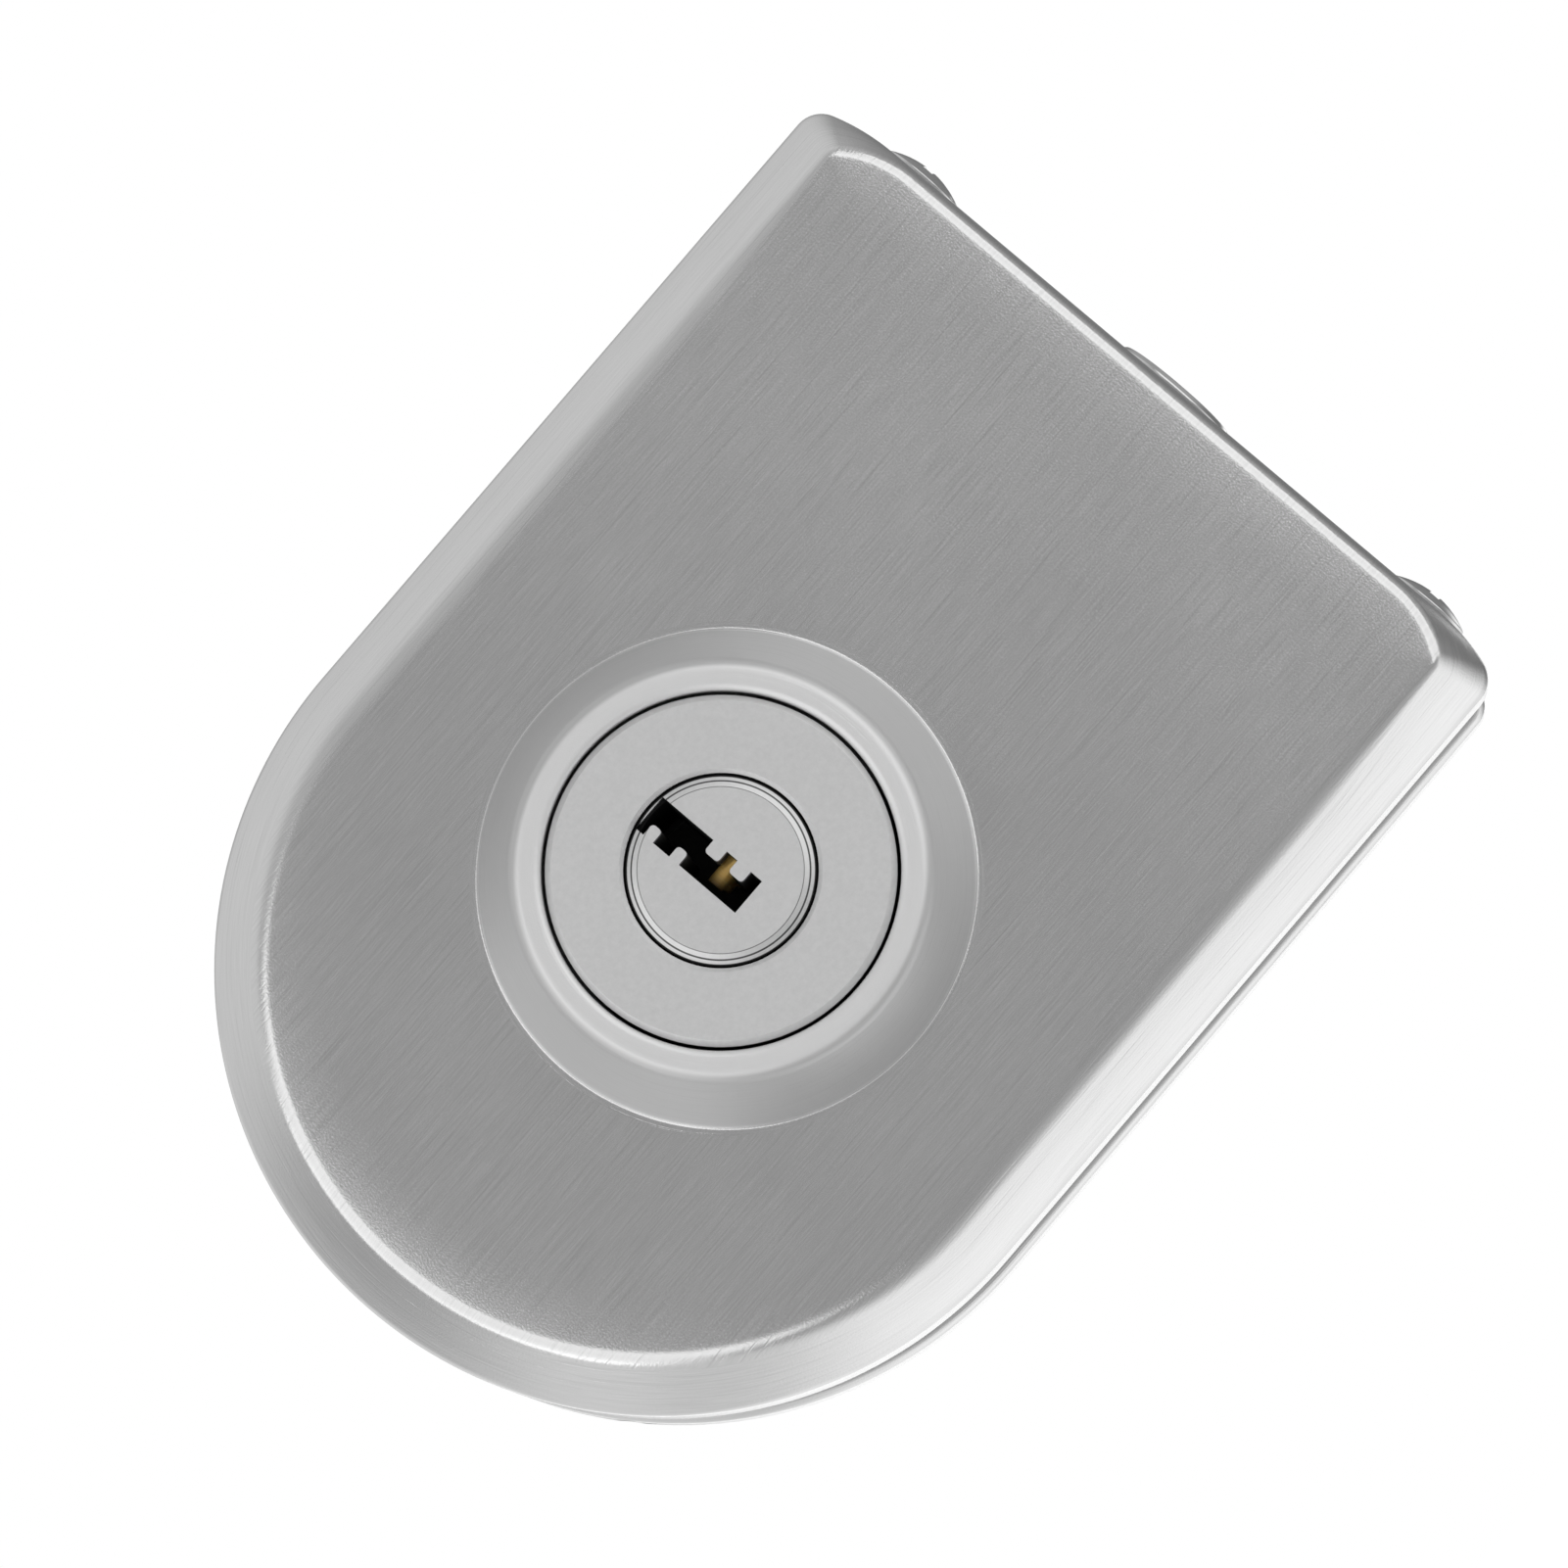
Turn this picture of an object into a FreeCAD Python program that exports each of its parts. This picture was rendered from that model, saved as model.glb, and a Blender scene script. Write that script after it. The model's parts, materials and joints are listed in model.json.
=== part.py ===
import FreeCAD, Part
import math
import os

Vector = FreeCAD.Vector

# Glass door lock, in millimetres, as it stands in a door: Z is up, the keyed front faces -Y,
# and the bolt throws towards +X. The origin is on the bolt's axis, in the middle of the glass,
# at the lock's square edge. A depth is a distance from the middle of the glass, either way.

# Door glass
glass_thickness = 12.0
cutout_side_margin = 6.0
cutout_end_margin = 14.0

# Covers: outline, sheet and the rounded shoulders
lock_width = 75.0
lock_length = 102.0
sheet = 1.2
rim_gap = 0.6
outline_corner = 2.5
outline_sweep_radius = 20.0
outline_sweep_turn = 17.0
face_corner = 1.8
face_sweep_radius = 10.5
face_sweep_turn = 38.0
front_depth = 13.0
front_wall = 7.3
front_slope_inset = 4.3
front_end_inset = 5.0
front_edge_inset = 1.0
front_shoulder_radius = 2.0
front_face_radius = 1.2
rear_depth = 8.6
rear_wall = 5.6
rear_slope_inset = 3.0
rear_end_inset = 3.4
rear_edge_inset = 0.8
rear_shoulder_radius = 1.2
rear_face_radius = 0.9

# Collar round the cylinder, drawn up from the front cover
collar_height = 8.0
collar_base_radius = 20.8
collar_lip_radius = 17.3
collar_lip_rounding = 1.2
collar_turn_in = 0.5
collar_gap = 0.3
collar_before_end_centre = 9.0

# Clamp plates, gaskets and the screws that pull them together
gasket_thickness = 1.2
gasket_inset = 0.4
clamp_plate_thickness = 4.0
clamp_plate_gap = 0.4
clamp_plate_corner = 3.0
clamp_screw_radius = 2.5
clamp_screw_head_radius = 5.0
clamp_screw_behind_faceplate = 19.5
clamp_screw_side_inset = 8.8
clamp_screw_end_inset = 7.5
clamp_screw_end_angle = 55.0
clamp_screw_end_gap = 0.4

# Posts welded inside the front cover, and their screws
post_radius = 3.5
post_behind_edge = 15.0
post_side_inset = 10.5
post_end_inset = 11.6
post_end_angle = 41.0
post_screw_radius = 1.5
post_screw_head_radius = 2.9
post_screw_length = 9.0

# Set screws that hold the rear cover on
set_screw_radius = 2.0
set_screw_length = 6.0
set_screw_angle = 34.0
set_screw_hole_gap = 0.3
set_screw_sunk = 0.2
set_screw_above_plate = 2.6
set_screw_lug_width = 9.0
set_screw_lug_reach = 7.0
set_screw_lug_wall = 0.6

# Faceplate in the square edge
faceplate_thickness = 2.5
faceplate_width = 16.0
faceplate_height = 64.0
faceplate_corner = 3.0
faceplate_gap = 0.15
faceplate_screw_end_inset = 3.8
faceplate_screw_radius = 2.0
faceplate_screw_length = 12.0
screw_head_radius = 3.8
screw_head_height = 2.15
screw_head_dome_radius = 8.0
cross_length = 4.4
cross_width = 0.9
cross_depth = 1.4

# Lock case in the cut-out, in two halves
case_gap = 0.7
case_corner = 1.0
case_screw_radius = 1.5
case_screw_head_radius = 2.9
case_screw_behind_faceplate = 9.5
case_screw_side_inset = 15.8
case_screw_end_inset = 4.6
case_screw_end_angle = 35.0
case_screw_length = 11.0

# Cylinder, plug and keyway
cylinder_radius = 14.5
cylinder_chamfer = 0.5
cylinder_flush = 0.2
plug_head_radius = 7.85
plug_head_length = 1.5
plug_head_gap = 0.2
plug_radius = 7.4
plug_chamfer_width = 1.0
plug_chamfer_depth = 0.5
plug_mouth_chamfer = 0.35
running_gap = 0.05
plug_end_gap = 0.4
keyway_top = 1.5
keyway_bottom = 1.9
keyway_long_end = 7.6
keyway_short_end = 3.2
keyway_end_wall = 1.5
tab_height = 1.2
tab_rounding = 0.35
upper_tab_starts = (0.6, -2.0)
upper_tab_width = 1.45
lower_tab_starts = (5.7, 2.9)
lower_tab_width = 1.05

# Pin stacks, from the square-edge side of the plug
pin_radius = 1.25
pin_tip_radius = 0.75
pin_tip_cone = 0.9
pin_pitch = 3.0
pin_first_depth = 3.0
pin_tip_reach = (2.7, 1.9, 2.4, 1.4)
shear_line_gap = 0.2
driver_pin_gap = 0.1
driver_pin_length = 2.8
pin_spring_length = 2.8
pin_spring_wall = 0.3
pin_cap_length = 1.3

# Circlip behind the plug
circlip_thickness = 1.0
circlip_width = 1.9
circlip_groove_depth = 0.7
circlip_opening = 50.0
circlip_room = 0.8
circlip_cover = 0.8

# Screws that hold the cylinder on the case
cylinder_screw_radius = 1.5
cylinder_screw_head_radius = 2.7
cylinder_screw_head_height = 2.2
cylinder_screw_offset = 12.4
cylinder_screw_bite = 7.0

# Tailpiece and drive pinion
tail_width = 5.0
tail_thickness = 2.0
tail_play = 0.05
tail_in_plug = 3.4
tail_end_wall = 1.2
gear_module = 0.75
pinion_teeth = 12
pressure_angle = 20.0
pinion_addendum = 0.75
pinion_root_depth = 0.75
rack_addendum = 0.5
rack_root_depth = 0.9
tooth_backlash = 0.12
flank_steps = 5
pinion_turn = 180.0
journal_radius = 3.4
journal_end_gap = 0.4

# Deadbolt and its rack bar
bolt_radius = 6.0
bolt_bore_gap = 0.1
bolt_proud = 1.35
bolt_nose_chamfer = 0.4
bolt_slot_depth = 8.0
bolt_faceplate_gap = 0.15
bolt_pin_radius = 1.5
bolt_pin_inset = 4.0
bolt_pin_end_gap = 0.4
bar_thickness = 5.0
bar_half_height = 9.5
bar_play = 0.15
bar_end_wall = 4.0
bar_front_wall = 3.4
bar_lower_rail = 3.3
tongue_half_height = 4.0
tongue_length = 19.8
window_clearance = 0.9
channel_end_gap = 3.0

# Detent that holds the bolt at either end of its throw
detent_ball_radius = 2.0
detent_bore_gap = 0.1
detent_offset_x = -7.0
detent_ball_gap = 0.05
detent_notch_radius = 1.6
detent_notch_depth = 0.5
detent_spring_wall = 0.5
detent_screw_length = 5.0
detent_screw_inset = 4.25

# Shared clearances
thread_gap = 0.05
screw_hole_gap = 0.2
hex_socket_share = 0.55

# Depths and places that follow from the sizes above
half_width = lock_width / 2
end_x = -lock_length
cutout_half_height = half_width - cutout_side_margin
cutout_reach = lock_length - cutout_end_margin
glass_face = glass_thickness / 2
plate_inner = glass_face + gasket_thickness
plate_outer = plate_inner + clamp_plate_thickness
cover_rim = glass_face + rim_gap
front_face = cover_rim + front_depth
rear_face = cover_rim + rear_depth
collar_lip = front_face + collar_height
collar_hole_radius = cylinder_radius + collar_gap
faceplate_back_x = -faceplate_thickness
faceplate_screw_z = faceplate_height / 2 - faceplate_screw_end_inset
plate_edge_x = faceplate_back_x - faceplate_gap
plate_half_width = half_width - sheet - clamp_plate_gap
plate_end_x = end_x + sheet + clamp_plate_gap
arc_centre_x = end_x + half_width
collar_axis_x = arc_centre_x + collar_before_end_centre
cutout_centre_x = cutout_half_height - cutout_reach
case_half_height = cutout_half_height - case_gap
case_end_x = case_gap - cutout_reach
case_split = bar_thickness / 2 + bar_play
cylinder_front = collar_lip - cylinder_flush
plug_back = plate_inner + plug_end_gap
pitch_radius = gear_module * pinion_teeth / 2
tooth_pitch = math.pi * gear_module
bolt_throw = pitch_radius * math.radians(pinion_turn)
window_front_x = collar_axis_x + pitch_radius + pinion_addendum + window_clearance
window_back_x = collar_axis_x - pitch_radius - pinion_addendum - window_clearance - bolt_throw
bar_shoulder_x = window_front_x + bar_front_wall
bar_front_x = bar_shoulder_x + tongue_length
bolt_back_x = bar_front_x + bar_play - bolt_slot_depth
bar_back_x = window_back_x - bar_end_wall
rack_root_z = pitch_radius + rack_root_depth
detent_x = collar_axis_x + detent_offset_x
detent_ball_z = -bar_half_height - detent_ball_gap - detent_ball_radius
detent_screw_end_z = detent_screw_inset - case_half_height
detent_screw_top_z = detent_screw_end_z + detent_screw_length
shear_radius = plug_radius + running_gap
pin_depths = [cylinder_front - plug_head_length - pin_first_depth - pin_pitch * i
              for i in range(len(pin_tip_reach))]
keyway_back = pin_depths[-1] - pin_radius - keyway_end_wall
circlip_outer_depth = plug_back + circlip_cover


def arc(y, centre_x, centre_z, radius, start, end):
    """Arc at depth position y, from one angle to the other, counted from +X towards +Z."""
    points = []
    for angle in (start, (start + end) / 2, end):
        turn = math.radians(angle)
        points.append(Vector(centre_x + radius * math.cos(turn), y, centre_z + radius * math.sin(turn)))
    return Part.Arc(*points).toShape()


def d_outline(y, edge_x, half, back_x, corner):
    """D-shaped wire at position y: square at edge_x, and a half circle that reaches back_x."""
    centre_x = back_x + half
    corner_x = edge_x - corner
    corner_z = half - corner
    return Part.Wire([
        Part.makeLine(Vector(edge_x, y, -corner_z), Vector(edge_x, y, corner_z)),
        arc(y, corner_x, corner_z, corner, 0, 90),
        Part.makeLine(Vector(corner_x, y, half), Vector(centre_x, y, half)),
        arc(y, centre_x, 0, half, 90, 180),
        arc(y, centre_x, 0, half, 180, 270),
        Part.makeLine(Vector(centre_x, y, -half), Vector(corner_x, y, -half)),
        arc(y, corner_x, -corner_z, corner, 270, 360),
    ])


def swept_outline(y, edge_x, half, back_x, corner, sweep_radius, sweep_turn):
    """D-shaped wire at position y whose square edge sweeps back a little before each corner."""
    centre_x = back_x + half
    turn = math.radians(sweep_turn)
    sweep_x = edge_x - sweep_radius
    sweep_z = half - corner - (sweep_radius - corner) * math.sin(turn)
    corner_x = sweep_x + (sweep_radius - corner) * math.cos(turn)
    corner_z = half - corner
    return Part.Wire([
        Part.makeLine(Vector(edge_x, y, -sweep_z), Vector(edge_x, y, sweep_z)),
        arc(y, sweep_x, sweep_z, sweep_radius, 0, sweep_turn),
        arc(y, corner_x, corner_z, corner, sweep_turn, 90),
        Part.makeLine(Vector(corner_x, y, half), Vector(centre_x, y, half)),
        arc(y, centre_x, 0, half, 90, 180),
        arc(y, centre_x, 0, half, 180, 270),
        Part.makeLine(Vector(centre_x, y, -half), Vector(corner_x, y, -half)),
        arc(y, corner_x, -corner_z, corner, 270, 360 - sweep_turn),
        arc(y, sweep_x, -sweep_z, sweep_radius, 360 - sweep_turn, 360),
    ])


def d_slab(y_low, y_high, edge_x, half, back_x, corner):
    face = Part.Face(d_outline(y_low, edge_x, half, back_x, corner))
    return face.extrude(Vector(0, y_high - y_low, 0))


def block(x_low, x_high, y_low, y_high, z_low, z_high):
    return Part.makeBox(x_high - x_low, y_high - y_low, z_high - z_low, Vector(x_low, y_low, z_low))


def rod_x(radius, x_low, x_high, y=0.0, z=0.0):
    return Part.makeCylinder(radius, x_high - x_low, Vector(x_low, y, z), Vector(1, 0, 0))


def rod_y(radius, y_low, y_high, x=0.0, z=0.0):
    return Part.makeCylinder(radius, y_high - y_low, Vector(x, y_low, z), Vector(0, 1, 0))


def rod_z(radius, z_low, z_high, x=0.0, y=0.0):
    return Part.makeCylinder(radius, z_high - z_low, Vector(x, y, z_low), Vector(0, 0, 1))


def cone_y(radius_start, radius_end, y_start, y_end, x=0.0, z=0.0):
    """Cone along Y, from one position to the other, whichever is higher."""
    direction = Vector(0, 1 if y_end > y_start else -1, 0)
    return Part.makeCone(radius_start, radius_end, abs(y_end - y_start), Vector(x, y_start, z), direction)


def two_and_two(front_x, front_z, centre_x, radius, angle):
    """Two places near the square edge, and two on a circle round the centre of an arc at the round end."""
    turn = math.radians(angle)
    back_x = centre_x - radius * math.cos(turn)
    back_z = radius * math.sin(turn)
    return [(front_x, front_z), (front_x, -front_z), (back_x, back_z), (back_x, -back_z)]


def edges_at(shape, y):
    """Edges that lie wholly at position y."""
    return [e for e in shape.Edges if all(abs(v.Y - y) < 1e-4 for v in e.Vertexes)]


clamp_screw_places = two_and_two(
    faceplate_back_x - clamp_screw_behind_faceplate, case_half_height - clamp_screw_side_inset,
    cutout_centre_x, case_half_height - clamp_screw_end_inset, clamp_screw_end_angle)
post_places = two_and_two(
    -post_behind_edge, half_width - post_side_inset,
    arc_centre_x, half_width - post_end_inset, post_end_angle)
case_screw_places = two_and_two(
    faceplate_back_x - case_screw_behind_faceplate, case_half_height - case_screw_side_inset,
    cutout_centre_x, case_half_height - case_screw_end_inset, case_screw_end_angle)
cylinder_screw_places = [(collar_axis_x, cylinder_screw_offset), (collar_axis_x, -cylinder_screw_offset)]


def cover_form(side, inset, rim, depth, wall, slope_inset, end_inset, edge_inset):
    """Solid form of a cover on one side of the glass, drawn in by inset all round."""
    half = half_width - inset
    shoulder = cover_rim + wall
    face = cover_rim + depth - inset
    back_x = end_x + inset
    rim_wire, low_wire = [
        swept_outline(side * depth_now, -inset, half, back_x, outline_corner - inset,
                      outline_sweep_radius - inset, outline_sweep_turn) for depth_now in (rim, shoulder)]
    high_wire = swept_outline(side * face, -inset - edge_inset, half - slope_inset, back_x + end_inset,
                              face_corner - inset, face_sweep_radius - inset, face_sweep_turn)
    straight = Part.Face(rim_wire).extrude(Vector(0, side * (shoulder - rim), 0))
    return straight.fuse(Part.makeLoft([low_wire, high_wire], True, True))


def cover_shell(side, depth, wall, slope_inset, end_inset, edge_inset, face_radius, shoulder_radius):
    shape = cover_form(side, 0.0, cover_rim, depth, wall, slope_inset, end_inset, edge_inset)
    outer = shape.makeFillet(face_radius, edges_at(shape, side * (cover_rim + depth)))
    outer = outer.makeFillet(shoulder_radius, edges_at(outer, side * (cover_rim + wall)))
    inside = cover_form(side, sheet, 0.0, depth, wall, slope_inset, end_inset, edge_inset)
    notch_depth = faceplate_width / 2 + faceplate_gap
    notch_half = faceplate_height / 2 + faceplate_gap
    notch = block(-2 * sheet, sheet, -notch_depth, notch_depth, -notch_half, notch_half)
    return outer.cut(inside).cut(notch)


def front_cover():
    shell = cover_shell(-1, front_depth, front_wall, front_slope_inset, front_end_inset,
                        front_edge_inset, front_face_radius, front_shoulder_radius)
    collar = cone_y(collar_base_radius, collar_lip_radius, sheet / 2 - front_face, -collar_lip, collar_axis_x)
    collar = collar.makeFillet(collar_lip_rounding, edges_at(collar, -collar_lip))
    inner_base = collar_base_radius - sheet
    inner_lip = collar_hole_radius + collar_turn_in
    hollow = cone_y(inner_base, inner_lip, sheet - front_face, sheet - collar_lip, collar_axis_x)
    hole = rod_y(collar_hole_radius, -collar_lip - sheet, -cover_rim, collar_axis_x)
    return shell.fuse(collar).cut(hollow).cut(hole).removeSplitter()


def set_screw_direction(turn):
    angle = math.radians(180 + turn)
    return Vector(math.cos(angle), 0, math.sin(angle))


def set_screw_rod(radius, turn, start, end):
    """Rod along the axis of one set screw, between two distances from the round end's centre."""
    direction = set_screw_direction(turn)
    centre = Vector(arc_centre_x, plate_inner + set_screw_above_plate, 0)
    return Part.makeCylinder(radius, end - start, centre + direction * start, direction)


def rear_cover():
    shell = cover_shell(1, rear_depth, rear_wall, rear_slope_inset, rear_end_inset,
                        rear_edge_inset, rear_face_radius, rear_shoulder_radius)
    for turn in (set_screw_angle, -set_screw_angle):
        shell = shell.cut(set_screw_rod(set_screw_radius + set_screw_hole_gap, turn,
                                        plate_half_width, half_width + sheet))
    return shell


def clamp_plate(side):
    return d_slab(side * plate_inner, side * plate_outer, plate_edge_x, plate_half_width,
                  plate_end_x, clamp_plate_corner)


def front_clamp_plate():
    plate = clamp_plate(-1)
    plate = plate.cut(rod_y(collar_hole_radius, -plate_outer, -plate_inner, collar_axis_x))
    for x, z in clamp_screw_places:
        plate = plate.cut(rod_y(clamp_screw_radius + thread_gap, -plate_outer, -plate_inner, x, z))
    for x, z in post_places:
        plate = plate.cut(rod_y(post_screw_radius + screw_hole_gap, -plate_outer, -plate_inner, x, z))
        plate = plate.cut(sunk_seat(post_screw_radius, post_screw_head_radius, -plate_inner, -1, x, z))
    return plate


def sunk_seat(radius, head_radius, y_face, inward, x, z):
    """Cone that a countersunk head sits in. inward is -1 or 1, the way the screw goes in."""
    room = screw_hole_gap
    wide = head_radius + room
    return cone_y(wide, radius + room, y_face, y_face + inward * (head_radius - radius), x, z)


def rear_clamp_plate():
    plate = clamp_plate(1)
    for turn in (set_screw_angle, -set_screw_angle):
        lug_top = plate_inner + set_screw_above_plate + set_screw_radius + set_screw_lug_wall
        lug = block(-plate_half_width, set_screw_lug_reach - plate_half_width, plate_inner, lug_top,
                    -set_screw_lug_width / 2, set_screw_lug_width / 2)
        lug.rotate(Vector(0, 0, 0), Vector(0, -1, 0), turn)
        lug.translate(Vector(arc_centre_x, 0, 0))
        inside_arc = rod_y(plate_half_width, plate_inner, lug_top, arc_centre_x)
        plate = plate.fuse(lug.common(inside_arc))
    for turn in (set_screw_angle, -set_screw_angle):
        plate = plate.cut(set_screw_rod(set_screw_radius + thread_gap, turn,
                                        plate_half_width - 2 * set_screw_lug_reach, half_width))
    for x, z in clamp_screw_places:
        plate = plate.cut(rod_y(clamp_screw_radius + screw_hole_gap, plate_inner, plate_outer, x, z))
        plate = plate.cut(sunk_seat(clamp_screw_radius, clamp_screw_head_radius, plate_outer, -1, x, z))
    return plate.removeSplitter()


def gasket(side):
    """Rubber sheet between a clamp plate and the glass, open over the cut-out."""
    sheet_form = d_slab(side * glass_face, side * plate_inner, plate_edge_x, plate_half_width - gasket_inset,
                        plate_end_x + gasket_inset, clamp_plate_corner)
    opening = d_slab(side * (glass_face - gasket_thickness), side * (plate_inner + gasket_thickness),
                     lock_width, cutout_half_height, -cutout_reach, case_corner)
    return sheet_form.cut(opening)


def cover_posts():
    reach = front_face - sheet
    posts = []
    for x, z in post_places:
        post = rod_y(post_radius, -reach, -plate_outer, x, z)
        bore_end = -plate_inner - post_screw_length - thread_gap
        posts.append(post.cut(rod_y(post_screw_radius + thread_gap, bore_end, -plate_outer, x, z)))
    return Part.makeCompound(posts)


def sunk_screw(radius, head_radius, length, y_head, inward, x, z):
    """Countersunk screw whose head is flush at y_head. inward is -1 or 1, the way it points."""
    y_end = y_head + inward * length
    shank = rod_y(radius, min(y_head, y_end), max(y_head, y_end), x, z)
    head = cone_y(head_radius, radius, y_head, y_head + inward * (head_radius - radius), x, z)
    socket_radius = head_radius * hex_socket_share
    socket = hex_prism(socket_radius, head_radius - radius, Vector(x, y_head, z), Vector(0, inward, 0))
    return shank.fuse(head).removeSplitter().cut(socket)


def hex_prism(radius, length, base, direction):
    """Six-sided prism whose corners lie at radius, as a socket for a key."""
    sideways = Vector(0, 1, 0) if abs(direction.y) < 0.5 else Vector(1, 0, 0)
    corners = []
    for step in range(7):
        spoke = FreeCAD.Rotation(direction, 60 * step).multVec(sideways)
        corners.append(base + spoke * radius)
    return Part.Face(Part.makePolygon(corners)).extrude(direction * length)


def post_screws():
    return Part.makeCompound([
        sunk_screw(post_screw_radius, post_screw_head_radius, post_screw_length, -plate_inner, -1, x, z)
        for x, z in post_places])


def clamp_screws():
    length = plate_outer + plate_outer - clamp_screw_end_gap
    return Part.makeCompound([
        sunk_screw(clamp_screw_radius, clamp_screw_head_radius, length, plate_outer, -1, x, z)
        for x, z in clamp_screw_places])


def rear_set_screws():
    outer_end = half_width - set_screw_sunk
    screws = []
    for turn in (set_screw_angle, -set_screw_angle):
        direction = set_screw_direction(turn)
        body = set_screw_rod(set_screw_radius, turn, outer_end - set_screw_length, outer_end)
        top = Vector(arc_centre_x, plate_inner + set_screw_above_plate, 0) + direction * outer_end
        socket = hex_prism(set_screw_radius * hex_socket_share, set_screw_radius, top, direction * -1)
        screws.append(body.cut(socket))
    return Part.makeCompound(screws)


def faceplate():
    half_deep = faceplate_width / 2
    half_high = faceplate_height / 2
    plate = block(faceplate_back_x, 0, -half_deep, half_deep, -half_high, half_high)
    corners = [e for e in plate.Edges if abs(e.Vertexes[0].X - e.Vertexes[1].X) > faceplate_thickness / 2]
    plate = plate.makeFillet(faceplate_corner, corners)
    plate = plate.cut(rod_x(bolt_radius + bolt_faceplate_gap, faceplate_back_x, 0))
    for z in (faceplate_screw_z, -faceplate_screw_z):
        plate = plate.cut(rod_x(faceplate_screw_radius + screw_hole_gap, faceplate_back_x, 0, 0, z))
    return plate


def faceplate_screws():
    screws = []
    for z in (faceplate_screw_z, -faceplate_screw_z):
        dome = Part.makeSphere(screw_head_dome_radius, Vector(screw_head_height - screw_head_dome_radius, 0, z))
        head = rod_x(screw_head_radius, 0, screw_head_height, 0, z).common(dome)
        screw = head.fuse(rod_x(faceplate_screw_radius, -faceplate_screw_length, 0, 0, z))
        floor_x = screw_head_height - cross_depth
        for half_y, half_z in ((cross_length / 2, cross_width / 2), (cross_width / 2, cross_length / 2)):
            screw = screw.cut(block(floor_x, screw_head_height, -half_y, half_y, z - half_z, z + half_z))
        screws.append(screw)
    return Part.makeCompound(screws)


def case_block(y_low, y_high):
    """Part of the lock case between two positions, with every hole that runs along Y or X."""
    case = d_slab(y_low, y_high, faceplate_back_x, case_half_height, case_end_x, case_corner)
    case = case.cut(rod_x(bolt_radius + bolt_bore_gap, bolt_back_x - bar_play, faceplate_back_x))
    case = case.cut(rod_y(journal_radius + running_gap, y_low, y_high, collar_axis_x))
    for x, z in clamp_screw_places:
        case = case.cut(rod_y(clamp_screw_radius + screw_hole_gap, y_low, y_high, x, z))
    return case


def case_front():
    case = case_block(-plate_inner, case_split)
    channel_front = bar_shoulder_x + bolt_throw + bar_play
    channel = block(bar_back_x - channel_end_gap, channel_front, -case_split, case_split,
                    -bar_half_height - bar_play, bar_half_height + bar_play)
    case = case.cut(channel)
    for x, z in case_screw_places:
        tip = plate_inner - case_screw_length - thread_gap
        case = case.cut(rod_y(case_screw_radius + thread_gap, tip, case_split, x, z))
    for x, z in cylinder_screw_places:
        seat = case_split - cylinder_screw_head_height - screw_hole_gap
        case = case.cut(rod_y(cylinder_screw_radius + screw_hole_gap, -plate_inner, seat, x, z))
        case = case.cut(rod_y(cylinder_screw_head_radius + screw_hole_gap, seat, case_split, x, z))
    for z in (faceplate_screw_z, -faceplate_screw_z):
        case = case.cut(rod_x(faceplate_screw_radius + thread_gap, -faceplate_screw_length - thread_gap,
                              faceplate_back_x, 0, z))
    bore_radius = detent_ball_radius + detent_bore_gap
    return case.cut(rod_z(bore_radius, -case_half_height, -bar_half_height, detent_x))


def case_rear():
    case = case_block(case_split, plate_inner)
    for x, z in case_screw_places:
        case = case.cut(rod_y(case_screw_radius + screw_hole_gap, case_split, plate_inner, x, z))
        case = case.cut(sunk_seat(case_screw_radius, case_screw_head_radius, plate_inner, -1, x, z))
    return case


def case_screws():
    return Part.makeCompound([
        sunk_screw(case_screw_radius, case_screw_head_radius, case_screw_length, plate_inner, -1, x, z)
        for x, z in case_screw_places])


def cylinder_body():
    back = -plate_inner
    front = -cylinder_front
    body = rod_y(cylinder_radius, front, back, collar_axis_x)
    body = body.makeChamfer(cylinder_chamfer, edges_at(body, front))
    mouth_radius = plug_head_radius + plug_head_gap
    mouth_floor = front + plug_head_length
    body = body.cut(rod_y(mouth_radius, front, mouth_floor, collar_axis_x))
    body = body.cut(cone_y(mouth_radius + plug_mouth_chamfer, mouth_radius, front,
                           front + plug_mouth_chamfer, collar_axis_x))
    body = body.cut(rod_y(shear_radius, mouth_floor, back, collar_axis_x))
    recess_radius = plug_radius - circlip_groove_depth + circlip_width + circlip_room
    recess_floor = -circlip_outer_depth - circlip_thickness - running_gap
    body = body.cut(rod_y(recess_radius, recess_floor, back, collar_axis_x))
    for depth in pin_depths:
        body = body.cut(rod_x(pin_radius + running_gap, collar_axis_x, collar_axis_x + cylinder_radius, -depth))
    for x, z in cylinder_screw_places:
        bore_end = back - cylinder_screw_bite - thread_gap
        body = body.cut(rod_y(cylinder_screw_radius + thread_gap, bore_end, back, x, z))
    return body


def rounded_tab(x_low, x_high, z_start, width, tip_x):
    """Rib of the keyway's profile, rounded where it hangs in the slot."""
    rib = block(x_low, x_high, -cylinder_front, -keyway_back, z_start, z_start + width)
    tip = [e for e in rib.Edges
           if all(abs(v.X - tip_x) < 1e-4 for v in e.Vertexes) and abs(e.Vertexes[0].Y - e.Vertexes[1].Y) > 1]
    return rib.makeFillet(tab_rounding, tip)


def keyway():
    top_x = collar_axis_x + keyway_top
    bottom_x = collar_axis_x - keyway_bottom
    slot = block(bottom_x, top_x, -cylinder_front, -keyway_back, -keyway_short_end, keyway_long_end)
    for start in upper_tab_starts:
        slot = slot.cut(rounded_tab(top_x - tab_height, top_x, start, upper_tab_width, top_x - tab_height))
    for start in lower_tab_starts:
        slot = slot.cut(rounded_tab(bottom_x, bottom_x + tab_height, start, lower_tab_width, bottom_x + tab_height))
    return slot


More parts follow.
